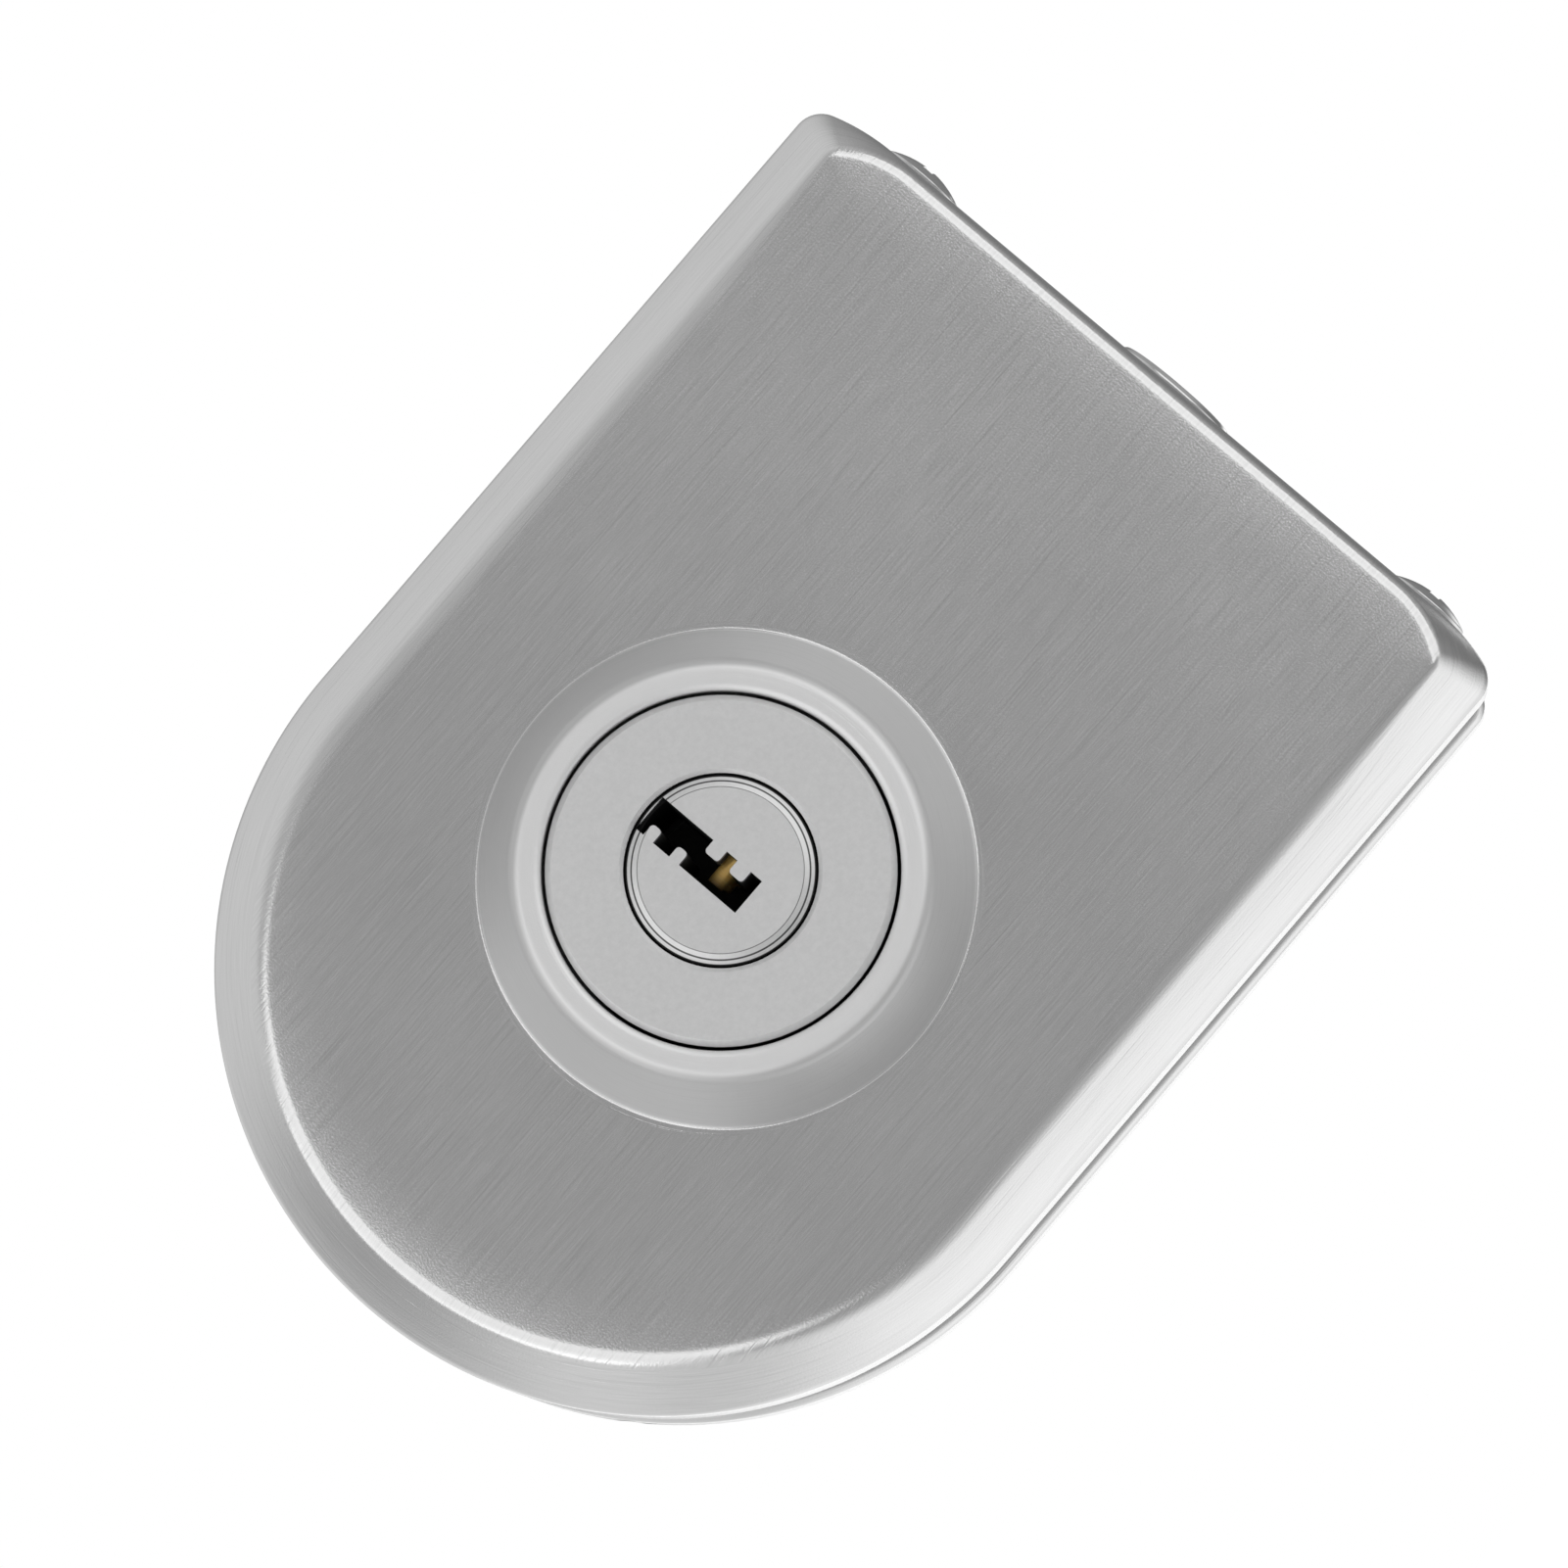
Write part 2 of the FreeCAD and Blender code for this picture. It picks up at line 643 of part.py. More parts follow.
def cylinder_plug():
    front = -cylinder_front
    back = -plug_back
    plug = rod_y(plug_head_radius, front, front + plug_head_length - running_gap, collar_axis_x)
    flat = cone_y(plug_head_radius - plug_chamfer_width, plug_head_radius, front,
                  front + plug_chamfer_depth, collar_axis_x)
    rest = rod_y(plug_head_radius, front + plug_chamfer_depth, back, collar_axis_x)
    plug = plug.common(flat.fuse(rest)).fuse(rod_y(plug_radius, front + plug_chamfer_depth, back, collar_axis_x))
    plug = plug.removeSplitter().cut(keyway())
    for depth, reach in zip(pin_depths, pin_tip_reach):
        bore_start = collar_axis_x + keyway_top - reach - pin_tip_cone
        plug = plug.cut(rod_x(pin_radius + running_gap, max(bore_start, collar_axis_x - keyway_bottom),
                              collar_axis_x + plug_head_radius, -depth))
    groove_low = -circlip_outer_depth - circlip_thickness - running_gap
    groove_high = running_gap - circlip_outer_depth
    groove = rod_y(plug_head_radius, groove_low, groove_high, collar_axis_x)
    groove = groove.cut(rod_y(plug_radius - circlip_groove_depth, groove_low, groove_high, collar_axis_x))
    slot_thick = tail_thickness / 2 + tail_play
    slot_wide = tail_width / 2 + tail_play
    tail_slot = block(collar_axis_x - slot_thick, collar_axis_x + slot_thick,
                      back - tail_in_plug - tail_play, back, -slot_wide, slot_wide)
    return plug.cut(groove).cut(tail_slot)


def key_pins():
    """Brass pins as they stand with the right key in: each ends just inside the shear line."""
    pins = []
    for depth, reach in zip(pin_depths, pin_tip_reach):
        tip_x = collar_axis_x + keyway_top - reach
        outer_x = collar_axis_x + plug_radius - shear_line_gap
        neck_x = collar_axis_x + keyway_top
        body = rod_x(pin_radius, neck_x + pin_tip_cone, outer_x, -depth)
        cone = Part.makeCone(pin_tip_radius, pin_radius, pin_tip_cone, Vector(neck_x, -depth, 0), Vector(1, 0, 0))
        pins.append(body.fuse(cone).fuse(rod_x(pin_tip_radius, tip_x, neck_x, -depth)).removeSplitter())
    return Part.makeCompound(pins)


def driver_start():
    return collar_axis_x + shear_radius + driver_pin_gap


def driver_pins():
    start = driver_start()
    return Part.makeCompound([rod_x(pin_radius, start, start + driver_pin_length, -depth) for depth in pin_depths])


def pin_springs():
    start = driver_start() + driver_pin_length
    springs = []
    for depth in pin_depths:
        tube = rod_x(pin_radius, start, start + pin_spring_length, -depth)
        springs.append(tube.cut(rod_x(pin_radius - pin_spring_wall, start, start + pin_spring_length, -depth)))
    return Part.makeCompound(springs)


def pin_caps():
    start = driver_start() + driver_pin_length + pin_spring_length
    return Part.makeCompound([rod_x(pin_radius, start, start + pin_cap_length, -depth) for depth in pin_depths])


def plug_circlip():
    inner = plug_radius - circlip_groove_depth + running_gap
    outer = inner + circlip_width
    low = -circlip_outer_depth - circlip_thickness
    high = -circlip_outer_depth
    ring = rod_y(outer, low, high, collar_axis_x).cut(rod_y(inner, low, high, collar_axis_x))
    half_angle = math.radians(circlip_opening / 2)
    reach = 2 * outer
    corners = [Vector(collar_axis_x, low, 0),
               Vector(collar_axis_x - reach * math.cos(half_angle), low, reach * math.sin(half_angle)),
               Vector(collar_axis_x - reach * math.cos(half_angle), low, -reach * math.sin(half_angle)),
               Vector(collar_axis_x, low, 0)]
    wedge = Part.Face(Part.makePolygon(corners)).extrude(Vector(0, circlip_thickness, 0))
    return ring.cut(wedge)


def cylinder_screws():
    head_top = case_split - screw_hole_gap
    head_base = head_top - cylinder_screw_head_height
    screws = []
    for x, z in cylinder_screw_places:
        head = rod_y(cylinder_screw_head_radius, head_base, head_top, x, z)
        shank = rod_y(cylinder_screw_radius, -plate_inner - cylinder_screw_bite, head_base, x, z)
        socket = hex_prism(cylinder_screw_radius * hex_socket_share * 2, cylinder_screw_radius,
                           Vector(x, head_top, z), Vector(0, -1, 0))
        screws.append(head.fuse(shank).cut(socket))
    return Part.makeCompound(screws)


def tailpiece():
    front = -plug_back - tail_in_plug
    back = plate_inner - journal_end_gap - tail_end_wall - tail_play
    return block(collar_axis_x - tail_thickness / 2, collar_axis_x + tail_thickness / 2, front, back,
                 -tail_width / 2, tail_width / 2)


def involute(angle):
    return math.tan(angle) - angle


def tooth_flank():
    """Points of one pinion flank, as (radius, angle from the tooth's middle), from root to tip."""
    base_radius = pitch_radius * math.cos(math.radians(pressure_angle))
    tip_radius = pitch_radius + pinion_addendum
    pitch_half_angle = (tooth_pitch / 4 - tooth_backlash / 4) / pitch_radius
    base_half_angle = pitch_half_angle + involute(math.radians(pressure_angle))
    flank = [(pitch_radius - pinion_root_depth, base_half_angle)]
    for step in range(flank_steps + 1):
        radius = base_radius + (tip_radius - base_radius) * step / flank_steps
        flank.append((radius, base_half_angle - involute(math.acos(base_radius / radius))))
    return flank


def pinion_profile(y):
    flank = tooth_flank()
    corners = []
    for tooth in range(pinion_teeth):
        middle = 2 * math.pi * tooth / pinion_teeth
        for radius, half_angle in flank:
            corners.append((radius, middle - half_angle))
        for radius, half_angle in reversed(flank):
            corners.append((radius, middle + half_angle))
    points = [Vector(collar_axis_x + r * math.sin(a), y, r * math.cos(a)) for r, a in corners]
    return Part.Face(Part.makePolygon(points + points[:1]))


def drive_pinion():
    half = bar_thickness / 2
    low = journal_end_gap - plate_inner
    high = plate_inner - journal_end_gap
    gear = pinion_profile(-half).extrude(Vector(0, bar_thickness, 0))
    gear = gear.fuse(rod_y(journal_radius, low, high, collar_axis_x))
    slot_thick = tail_thickness / 2 + tail_play
    slot_wide = tail_width / 2 + tail_play
    slot = block(collar_axis_x - slot_thick, collar_axis_x + slot_thick, low, high - tail_end_wall,
                 -slot_wide, slot_wide)
    return gear.cut(slot)


def deadbolt():
    nose = rod_x(bolt_radius, bolt_back_x, bolt_proud)
    tip = [e for e in nose.Edges if all(abs(v.X - bolt_proud) < 1e-4 for v in e.Vertexes)]
    nose = nose.makeChamfer(bolt_nose_chamfer, tip)
    half_slot = bar_thickness / 2 + running_gap
    slot_end = bolt_back_x + bolt_slot_depth
    nose = nose.cut(block(bolt_back_x, slot_end, -half_slot, half_slot, -bolt_radius, bolt_radius))
    pin_x = bolt_back_x + bolt_pin_inset
    return nose.cut(rod_y(bolt_pin_radius + running_gap, -bolt_radius, bolt_radius, pin_x))


def bolt_pin():
    reach = bolt_radius - bolt_pin_end_gap
    return rod_y(bolt_pin_radius, -reach, reach, bolt_back_x + bolt_pin_inset)


def rack_tooth(centre_x):
    """One tooth of the rack, hanging from the window's upper edge."""
    slope = math.tan(math.radians(pressure_angle))
    pitch_half = tooth_pitch / 4 - tooth_backlash / 4
    tip_half = pitch_half - rack_addendum * slope
    root_half = pitch_half + rack_root_depth * slope
    tip_z = pitch_radius - rack_addendum
    half = bar_thickness / 2
    corners = [Vector(centre_x - root_half, -half, rack_root_z), Vector(centre_x - tip_half, -half, tip_z),
               Vector(centre_x + tip_half, -half, tip_z), Vector(centre_x + root_half, -half, rack_root_z)]
    return Part.Face(Part.makePolygon(corners + corners[:1])).extrude(Vector(0, bar_thickness, 0))


def rack_bar():
    half = bar_thickness / 2
    bar = block(bar_back_x, bar_shoulder_x, -half, half, -bar_half_height, bar_half_height)
    bar = bar.fuse(block(bar_shoulder_x, bar_front_x, -half, half, -tongue_half_height, tongue_half_height))
    bar = bar.cut(block(window_back_x, window_front_x, -half, half,
                        bar_lower_rail - bar_half_height, rack_root_z))
    most_teeth = int((window_front_x - window_back_x) / tooth_pitch)
    for index in range(-most_teeth, most_teeth):
        centre_x = collar_axis_x + (index + 0.5) * tooth_pitch
        if window_back_x + tooth_pitch / 2 < centre_x < window_front_x - tooth_pitch / 2:
            bar = bar.fuse(rack_tooth(centre_x))
    for notch_x in (detent_x, detent_x - bolt_throw):
        notch_z = -bar_half_height - detent_notch_radius + detent_notch_depth
        bar = bar.cut(rod_y(detent_notch_radius, -half, half, notch_x, notch_z))
    bar = bar.cut(rod_y(bolt_pin_radius + running_gap, -half, half, bolt_back_x + bolt_pin_inset))
    return bar.removeSplitter()


def detent_ball():
    return Part.makeSphere(detent_ball_radius, Vector(detent_x, 0, detent_ball_z))


def detent_spring():
    top = detent_ball_z - detent_ball_radius
    tube = rod_z(detent_ball_radius, detent_screw_top_z, top, detent_x)
    return tube.cut(rod_z(detent_ball_radius - detent_spring_wall, detent_screw_top_z, top, detent_x))


def detent_screw():
    body = rod_z(detent_ball_radius + thread_gap, detent_screw_end_z, detent_screw_top_z, detent_x)
    base = Vector(detent_x, 0, detent_screw_end_z)
    return body.cut(hex_prism(detent_ball_radius * hex_socket_share, detent_ball_radius, base, Vector(0, 0, 1)))


pieces = {
    "front_cover": front_cover(),
    "rear_cover": rear_cover(),
    "front_clamp_plate": front_clamp_plate(),
    "rear_clamp_plate": rear_clamp_plate(),
    "front_gasket": gasket(-1),
    "rear_gasket": gasket(1),
    "cover_posts": cover_posts(),
    "post_screws": post_screws(),
    "clamp_screws": clamp_screws(),
    "rear_set_screws": rear_set_screws(),
    "faceplate": faceplate(),
    "faceplate_screws": faceplate_screws(),
    "case_front": case_front(),
    "case_rear": case_rear(),
    "case_screws": case_screws(),
    "cylinder_body": cylinder_body(),
    "cylinder_screws": cylinder_screws(),
    "driver_pins": driver_pins(),
    "pin_springs": pin_springs(),
    "pin_caps": pin_caps(),
    "detent_ball": detent_ball(),
    "detent_spring": detent_spring(),
    "detent_screw": detent_screw(),
    "cylinder_plug": cylinder_plug(),
    "key_pins": key_pins(),
    "plug_circlip": plug_circlip(),
    "tailpiece": tailpiece(),
    "drive_pinion": drive_pinion(),
    "deadbolt": deadbolt(),
    "rack_bar": rack_bar(),
    "bolt_pin": bolt_pin(),
}

os.makedirs("parts", exist_ok=True)
for name, shape in pieces.items():
    shape.exportStep("parts/" + name + ".step")
    print(name, "solids", len(shape.Solids), "volume", round(shape.Volume, 1), "valid", shape.isValid())
print("bolt throw", round(bolt_throw, 4), "mm, coupling", pitch_radius / 1000, "metres per radian")
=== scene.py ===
import json
import math

import bmesh
import bpy
import numpy as np
from mathutils import Matrix, Vector


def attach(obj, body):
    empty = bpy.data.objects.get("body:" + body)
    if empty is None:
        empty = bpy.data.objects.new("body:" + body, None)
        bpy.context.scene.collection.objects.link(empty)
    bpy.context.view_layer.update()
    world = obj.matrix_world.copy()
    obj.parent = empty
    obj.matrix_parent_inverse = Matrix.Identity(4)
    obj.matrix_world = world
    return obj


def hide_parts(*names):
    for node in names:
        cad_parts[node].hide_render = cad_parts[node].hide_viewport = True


# Glass door lock. Lengths of the lock are in millimetres up to the last step, where MM turns them
# into metres. Z is up, the keyed front faces -Y, and the bolt throws towards +X. A depth is a
# distance from the middle of the glass, either way.

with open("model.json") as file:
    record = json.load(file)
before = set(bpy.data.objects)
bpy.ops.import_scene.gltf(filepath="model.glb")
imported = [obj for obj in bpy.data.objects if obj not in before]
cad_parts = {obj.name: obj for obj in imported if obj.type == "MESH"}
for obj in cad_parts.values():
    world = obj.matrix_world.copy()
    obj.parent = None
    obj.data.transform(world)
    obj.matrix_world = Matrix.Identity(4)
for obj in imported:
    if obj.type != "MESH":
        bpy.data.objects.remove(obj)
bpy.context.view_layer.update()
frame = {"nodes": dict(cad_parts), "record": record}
MM = 0.001

# Covers. Between the square edge and a corner the outline sweeps back, by its sweep's turn in
# degrees. The notch cuts the square edge's wall away from the rim to notch_depth, over twice
# notch_half, where the faceplate stands.
half_width = 37.5
lock_length = 102.0
arc_centre_x = half_width - lock_length
sheet = 1.2
cover_rim = 6.6
outline_corner = 2.5
outline_sweep_radius = 20.0
outline_sweep_turn = 17.0
face_corner = 1.8
face_sweep_radius = 10.5
face_sweep_turn = 38.0
notch_depth = 8.15
notch_half = 32.15

# The two covers. face_radius rounds the edge between slope and face, and crown is how far the face
# falls away towards it: both are given at the square edge, on the long sides and at the round end.
# bulge is how far the slope stands out at its middle.
front = {"side": -1, "depth": 13.0, "wall": 7.3, "slope_inset": 4.3, "end_inset": 4.3, "edge_inset": 0.85,
         "shoulder_radius": 2.0, "face_radius": (1.25, 3.4, 1.9), "crown": (0.09, 0.09, 0.2), "bulge": 0.1,
         "rim_radius": 0.5}
rear = {"side": 1, "depth": 8.6, "wall": 5.6, "slope_inset": 3.0, "end_inset": 3.4, "edge_inset": 0.8,
        "shoulder_radius": 1.2, "face_radius": (0.9, 1.1, 1.2), "crown": (0.08, 0.08, 0.08), "bulge": 0.05,
        "rim_radius": 1.15}
crown_reach = 5.0
crown_rounds = 3

# Towards the square edge the long sides' face_radius shrinks to the square edge's own
corner_taper_start = -18.0
corner_taper_length = 14.0

# Collar
collar_x = -55.5
collar_height = 8.0
collar_base_radius = 20.8
collar_lip_radius = 17.3
collar_lip_rounding = 1.5
collar_mouth_rounding = 0.7
collar_foot_rounding = 0.15
collar_hole_radius = 14.8
collar_turn_in = 0.5

# Set screws in the rear cover's round end. The bore's reaches are from the end's centre.
set_screw_hole_radius = 2.3
set_screw_angle = 34.0
set_screw_depth = 9.8
set_screw_bore = (33.0, 40.0)

# Mesh of the covers: steps on each run of the outline, on each rounding of a section, and the rows
# between them. beyond is the length of a leg that only gives a bend its direction.
outline_steps = {"edge": 40, "sweep": 12, "corner": 12, "side": 56, "end": 110}
notch_column_gap = 0.05
rim_steps = 5
fillet_steps = 10
slope_steps = 5
foot_steps = 4
mouth_steps = 7
crown_rows = (0.35, 0.8, 1.4, 2.2, 3.2, 4.4, 6.0)
foot_rows = (0.6, 0.25)
flank_rows = (0.33, 0.66)
collar_grain_start = 60.0
beyond = 9.0
skin_smooth_angle = 32.0
bore_sides = 64

# Copies of the other pieces that show: corners that agree to merge_digits of a metre are one, and
# faces that turn by less than flat_angle, in degrees, are joined
merge_digits = 8
flat_angle = 0.3
bevel_segments = 2


class Wire:
    """A socket of a node tree that takes plain arithmetic: each sum adds its own Math node."""

    def __init__(self, nodes, socket):
        self.nodes = nodes
        self.socket = socket

    def out(self, name):
        """Another output of the same node."""
        return Wire(self.nodes, self.socket.node.outputs[name])

    def math(self, operation, *others):
        values = dict(enumerate((self,) + others))
        return self.nodes.add("ShaderNodeMath", {"operation": operation}, values)

    def __add__(self, other):
        return self.math("ADD", other)

    def __sub__(self, other):
        return self.math("SUBTRACT", other)

    def __mul__(self, other):
        return self.math("MULTIPLY", other)

    def __truediv__(self, other):
        return self.math("DIVIDE", other)

    def __rsub__(self, other):
        return self * -1.0 + other

    def __rtruediv__(self, other):
        return self.math("POWER", -1.0) * other

    __radd__ = __add__
    __rmul__ = __mul__

    def clamp(self):
        return self.math("MAXIMUM", 0.0).math("MINIMUM", 1.0)

    def step(self, start, end):
        """0 up to start, 1 from end on, and smooth between them."""
        share = ((self - start) * (1.0 / (end - start))).clamp()
        return share * share * (3.0 - share * 2.0)


class Nodes:
    """The node tree of a material, of the world or of a Geometry Nodes group."""

    def __init__(self, tree):
        self.tree = tree
        tree.nodes.clear()

    def add(self, kind, settings=None, values=None, out=0):
        """A node of that kind, with its settings first and then the values or links of its sockets."""
        node = self.tree.nodes.new(kind)
        for name, value in (settings or {}).items():
            setattr(node, name, value)
        for name, value in (values or {}).items():
            if isinstance(value, Wire):
                self.tree.links.new(value.socket, node.inputs[name])
            else:
                node.inputs[name].default_value = value
        return Wire(self, node.outputs[out]) if len(node.outputs) else None

    def noise(self, place, scales, detail=2.0, rough=0.55):
        """Noise from 0 to 1, with its own scale along each axis, in blotches to the metre."""
        spread = self.add("ShaderNodeVectorMath", {"operation": "MULTIPLY"}, {0: place, 1: scales})
        return self.add("ShaderNodeTexNoise", {}, {"Vector": spread, "Scale": 1.0, "Detail": detail,
                                                   "Roughness": rough})

    def blend(self, share, first, second):
        """Colour between two, or the wires of two."""
        return self.add("ShaderNodeMix", {"data_type": "RGBA"}, {0: share, 6: first, 7: second}, 2)

    def bump(self, height, distance, strength=1.0):
        return self.add("ShaderNodeBump", {}, {"Strength": strength, "Distance": distance, "Height": height})

    def in_view(self):
        """1 on a ray from the camera, and where a mirror or clear piece passes one on, otherwise 0."""
        seen = self.add("ShaderNodeLightPath", {}, {}, "Is Camera Ray")
        return (seen + seen.out("Is Glossy Ray") + seen.out("Is Transmission Ray")).clamp()

    def surface(self, surface):
        self.add("ShaderNodeOutputMaterial", {}, {"Surface": surface})


def new_material(name):
    material = bpy.data.materials.new(name)
    material.use_nodes = True
    return material, Nodes(material.node_tree)


def grey(value, cool=0.0):
    return (value, value + cool, value + 2 * cool, 1.0)


def object_place(nodes):
    return nodes.add("ShaderNodeTexCoord", {}, {}, "Object")


def from_collar_axis(axes):
    """Distance from the collar's axis, in metres."""
    aside = axes["x"] - collar_x * MM
    return (aside * aside + axes["z"] * axes["z"]).math("SQRT")


# Grain that all the metals share: scales are in blotches to the metre, and the scratches' are shares
# of the streaks' own
sand_scale = 5000.0
cloud_scales = (38.0, 30.0, 30.0)
scratch_along = 0.3
scratch_across = 0.45
scratch_levels = (0.57, 0.68)
streak_contrast = 1.5
cloud_contrast = 0.7
deep_roughness = 0.25
boss_edge = 0.3
flank_edge = 0.5


def metal(name, dark, light, roughness, along, across, grain_depth, speckle=0.3, mottle=0.05,
          place="xzy", scratches=0.0, fade=None, boss=None, grooves=(), metallic=1.0):
    """Metal with a brushed or turned grain.

    dark and light are the base colours that the grain moves between. along and across are the
    streaks' scales, in blotches to the metre, and grain_depth is their height in micrometres,
    of which speckle is the share of fine sand. mottle is how much the roughness varies. place is
    the order of the piece's axes, with the grain's first, or "grain" for the UV map that runs along
    the grain. scratches is how strongly the longer, deeper lines show. fade is (axis, start, end,
    colour) of painted shade, where the metal darkens along one axis. boss has the radii, the face's
    depth and the colours of a rougher, turned boss on the collar's axis: its lip is lighter, partly
    polish and partly a painted highlight, and its flank darker as painted shade. grooves are
    (radius, half width, colour) of rings turned round that axis, whose dark colour is painted shade.
    """
    material, nodes = new_material(name)
    split = nodes.add("ShaderNodeSeparateXYZ", {}, {0: object_place(nodes)})
    axes = {"x": split, "y": split.out("Y"), "z": split.out("Z")}
    if place == "grain":
        spot = nodes.add("ShaderNodeUVMap", {"uv_map": "grain"})
    else:
        spot = nodes.add("ShaderNodeCombineXYZ", {}, {i: axes[axis] for i, axis in enumerate(place)})
    streaks = nodes.noise(spot, (along, across, across), 2.0, 0.6)
    scratch_scales = (along * scratch_along, across * scratch_across, across * scratch_across)
    lines = nodes.noise(spot, scratch_scales, 1.0).step(*scratch_levels)
    sand = nodes.noise(spot, (sand_scale, sand_scale, sand_scale), 1.0, 0.7)
    clouds = nodes.noise(spot, cloud_scales)
    tone = (streaks - 0.5) * streak_contrast + (clouds - 0.5) * cloud_contrast + 0.5 - lines * scratches
    colour = nodes.blend(tone.clamp(), dark, light)
    gloss = (streaks - 0.5) * mottle * streak_contrast + (clouds - 0.5) * mottle + roughness
    height = streaks * (1.0 - speckle) + sand * speckle - lines * scratches
    # Painted shade: the metal darkens along one axis, into gaps and slots.
    if fade:
        axis, start, end, deep = fade
        if start < end:
            inside = axes[axis].step(start * MM, end * MM)
        else:
            inside = 1.0 - axes[axis].step(end * MM, start * MM)
        colour = nodes.blend(inside, colour, deep)
        gloss = gloss + inside * deep_roughness
    if boss:
        from_axis = from_collar_axis(axes)
        within = 1.0 - from_axis.step((boss["radius"] - boss_edge) * MM, boss["radius"] * MM)
        proud = 1.0 - axes["y"].step(-(boss["face"] + boss_edge) * MM, -boss["face"] * MM)
        turned = within * proud
        flank = turned * from_axis.step(boss["lip_radius"] * MM, (boss["lip_radius"] + flank_edge) * MM)
        gloss = gloss + turned * boss["rougher"]
        # The lip is lighter, partly polish and partly a painted highlight, and the flank darker as painted
        # shade.
        colour = nodes.blend((turned - flank) * boss["lip_highlight_share"], colour, boss["lip"])
        colour = nodes.blend(flank * boss["flank_shade_share"], colour, boss["flank"])
    # The grooves' dark colour is painted shade in them.
    for radius, half, deep in grooves:
        off_line = (from_collar_axis(axes) - radius * MM).math("ABSOLUTE")
        groove = 1.0 - off_line.step(half * 0.5 * MM, half * MM)
        colour = nodes.blend(groove, colour, deep)
        height = height - groove
    nodes.surface(nodes.add("ShaderNodeBsdfPrincipled", {}, {
        "Base Color": colour, "Metallic": metallic, "Roughness": gloss.clamp(),
        "Normal": nodes.bump(height, grain_depth * MM * MM)}))
    return material


def rubber(name):
    """Matt black rubber with fine pores and a little dust."""
    material, nodes = new_material(name)
    spot = object_place(nodes)
    pores = nodes.noise(spot, (3500.0, 3500.0, 3500.0), 3.0)
    dust = nodes.noise(spot, (160.0, 160.0, 160.0), 3.0)
    colour = nodes.blend((dust * 1.6 - 0.4).clamp(), grey(0.018), grey(0.045))
    nodes.surface(nodes.add("ShaderNodeBsdfPrincipled", {}, {
        "Base Color": colour, "Roughness": dust * 0.2 + 0.55, "Normal": nodes.bump(pores, 0.02 * MM, 0.6)}))
    return material


def cast_zinc(name):
    """Die-cast zinc: a matt, slightly blotched skin with fine pits."""
    material, nodes = new_material(name)
    spot = object_place(nodes)
    skin = nodes.noise(spot, (420.0, 420.0, 420.0), 4.0, 0.6)
    pits = nodes.noise(spot, (2600.0, 2600.0, 2600.0))
    colour = nodes.blend((skin * 1.5 - 0.25).clamp(), grey(0.42, 0.004), grey(0.56, 0.004))
    nodes.surface(nodes.add("ShaderNodeBsdfPrincipled", {}, {
        "Base Color": colour, "Metallic": 1.0, "Roughness": skin * 0.15 + 0.45,
        "Normal": nodes.bump(skin * 0.6 + pits * 0.4, 0.03 * MM, 0.7)}))
    return material


def d_points(edge_x, half, back_x, corner, sweep_radius, sweep_turn, shares):
    """Points of a D-shaped outline as (x, z), with the outward direction at each."""
    centre_x = back_x + half
    sweep_x = edge_x - sweep_radius
    corner_z = half - corner
    sweep_z = corner_z - (sweep_radius - corner) * math.sin(math.radians(sweep_turn))
    corner_x = sweep_x + (sweep_radius - corner) * math.cos(math.radians(sweep_turn))
    points = []
    outward = []

    def line(start, end, direction, run):
        for share in run:
            points.append((start[0] + (end[0] - start[0]) * share, start[1] + (end[1] - start[1]) * share))
            outward.append(direction)

    def arc(centre, radius, start, end, run):
        for share in run:
            turn = math.radians(start + (end - start) * share)
            direction = (math.cos(turn), math.sin(turn))
            points.append((centre[0] + radius * direction[0], centre[1] + radius * direction[1]))
            outward.append(direction)

    def back(run):
        return [0.0] + [1.0 - share for share in reversed(run[1:])]

    line((edge_x, -sweep_z), (edge_x, sweep_z), (1.0, 0.0), shares["edge"])
    arc((sweep_x, sweep_z), sweep_radius, 0, sweep_turn, shares["sweep"])
    arc((corner_x, corner_z), corner, sweep_turn, 90, shares["corner"])
    line((corner_x, half), (centre_x, half), (0.0, 1.0), shares["side"])
    arc((centre_x, 0), half, 90, 270, shares["end"])
    line((centre_x, -half), (corner_x, -half), (0.0, -1.0), back(shares["side"]))
    arc((corner_x, -corner_z), corner, 270, 360 - sweep_turn, back(shares["corner"]))
    arc((sweep_x, -sweep_z), sweep_radius, 360 - sweep_turn, 360, back(shares["sweep"]))
    return np.array(points), np.array(outward)


def even_views(start, end, eye, count):
    """Shares of a line whose points, seen from eye, lie at equal angles. The line's end is left out."""
    first = math.atan2(start[1] - eye[1], start[0] - eye[0])
    last = math.atan2(end[1] - eye[1], end[0] - eye[0])
    run = np.array(end) - np.array(start)
    gap = np.array(eye) - np.array(start)
    shares = []
    for step in range(count):
        turn = first + (last - first) * step / count
        ray = (math.cos(turn), math.sin(turn))
        cross = run[0] * ray[1] - run[1] * ray[0]
        shares.append(float((gap[0] * ray[1] - gap[1] * ray[0]) / cross))
    return shares


def outline_shares():
    """Where the columns of a cover's mesh stand on each run of its outline, one of them at the notch."""
    shares = {run: [i / count for i in range(count)] for run, count in outline_steps.items()}
    sweep = math.radians(outline_sweep_turn)
    sweep_z = half_width - outline_corner - (outline_sweep_radius - outline_corner) * math.sin(sweep)
    notch = math.asin((notch_half - sweep_z) / outline_sweep_radius) / sweep
    clear = [share for share in shares["sweep"] if abs(share - notch) > notch_column_gap]
    shares["sweep"] = sorted(clear + [notch])
    shares["side"] = even_views((-outline_corner, half_width), (arc_centre_x, half_width), (collar_x, 0),
                                outline_steps["side"])
    return shares


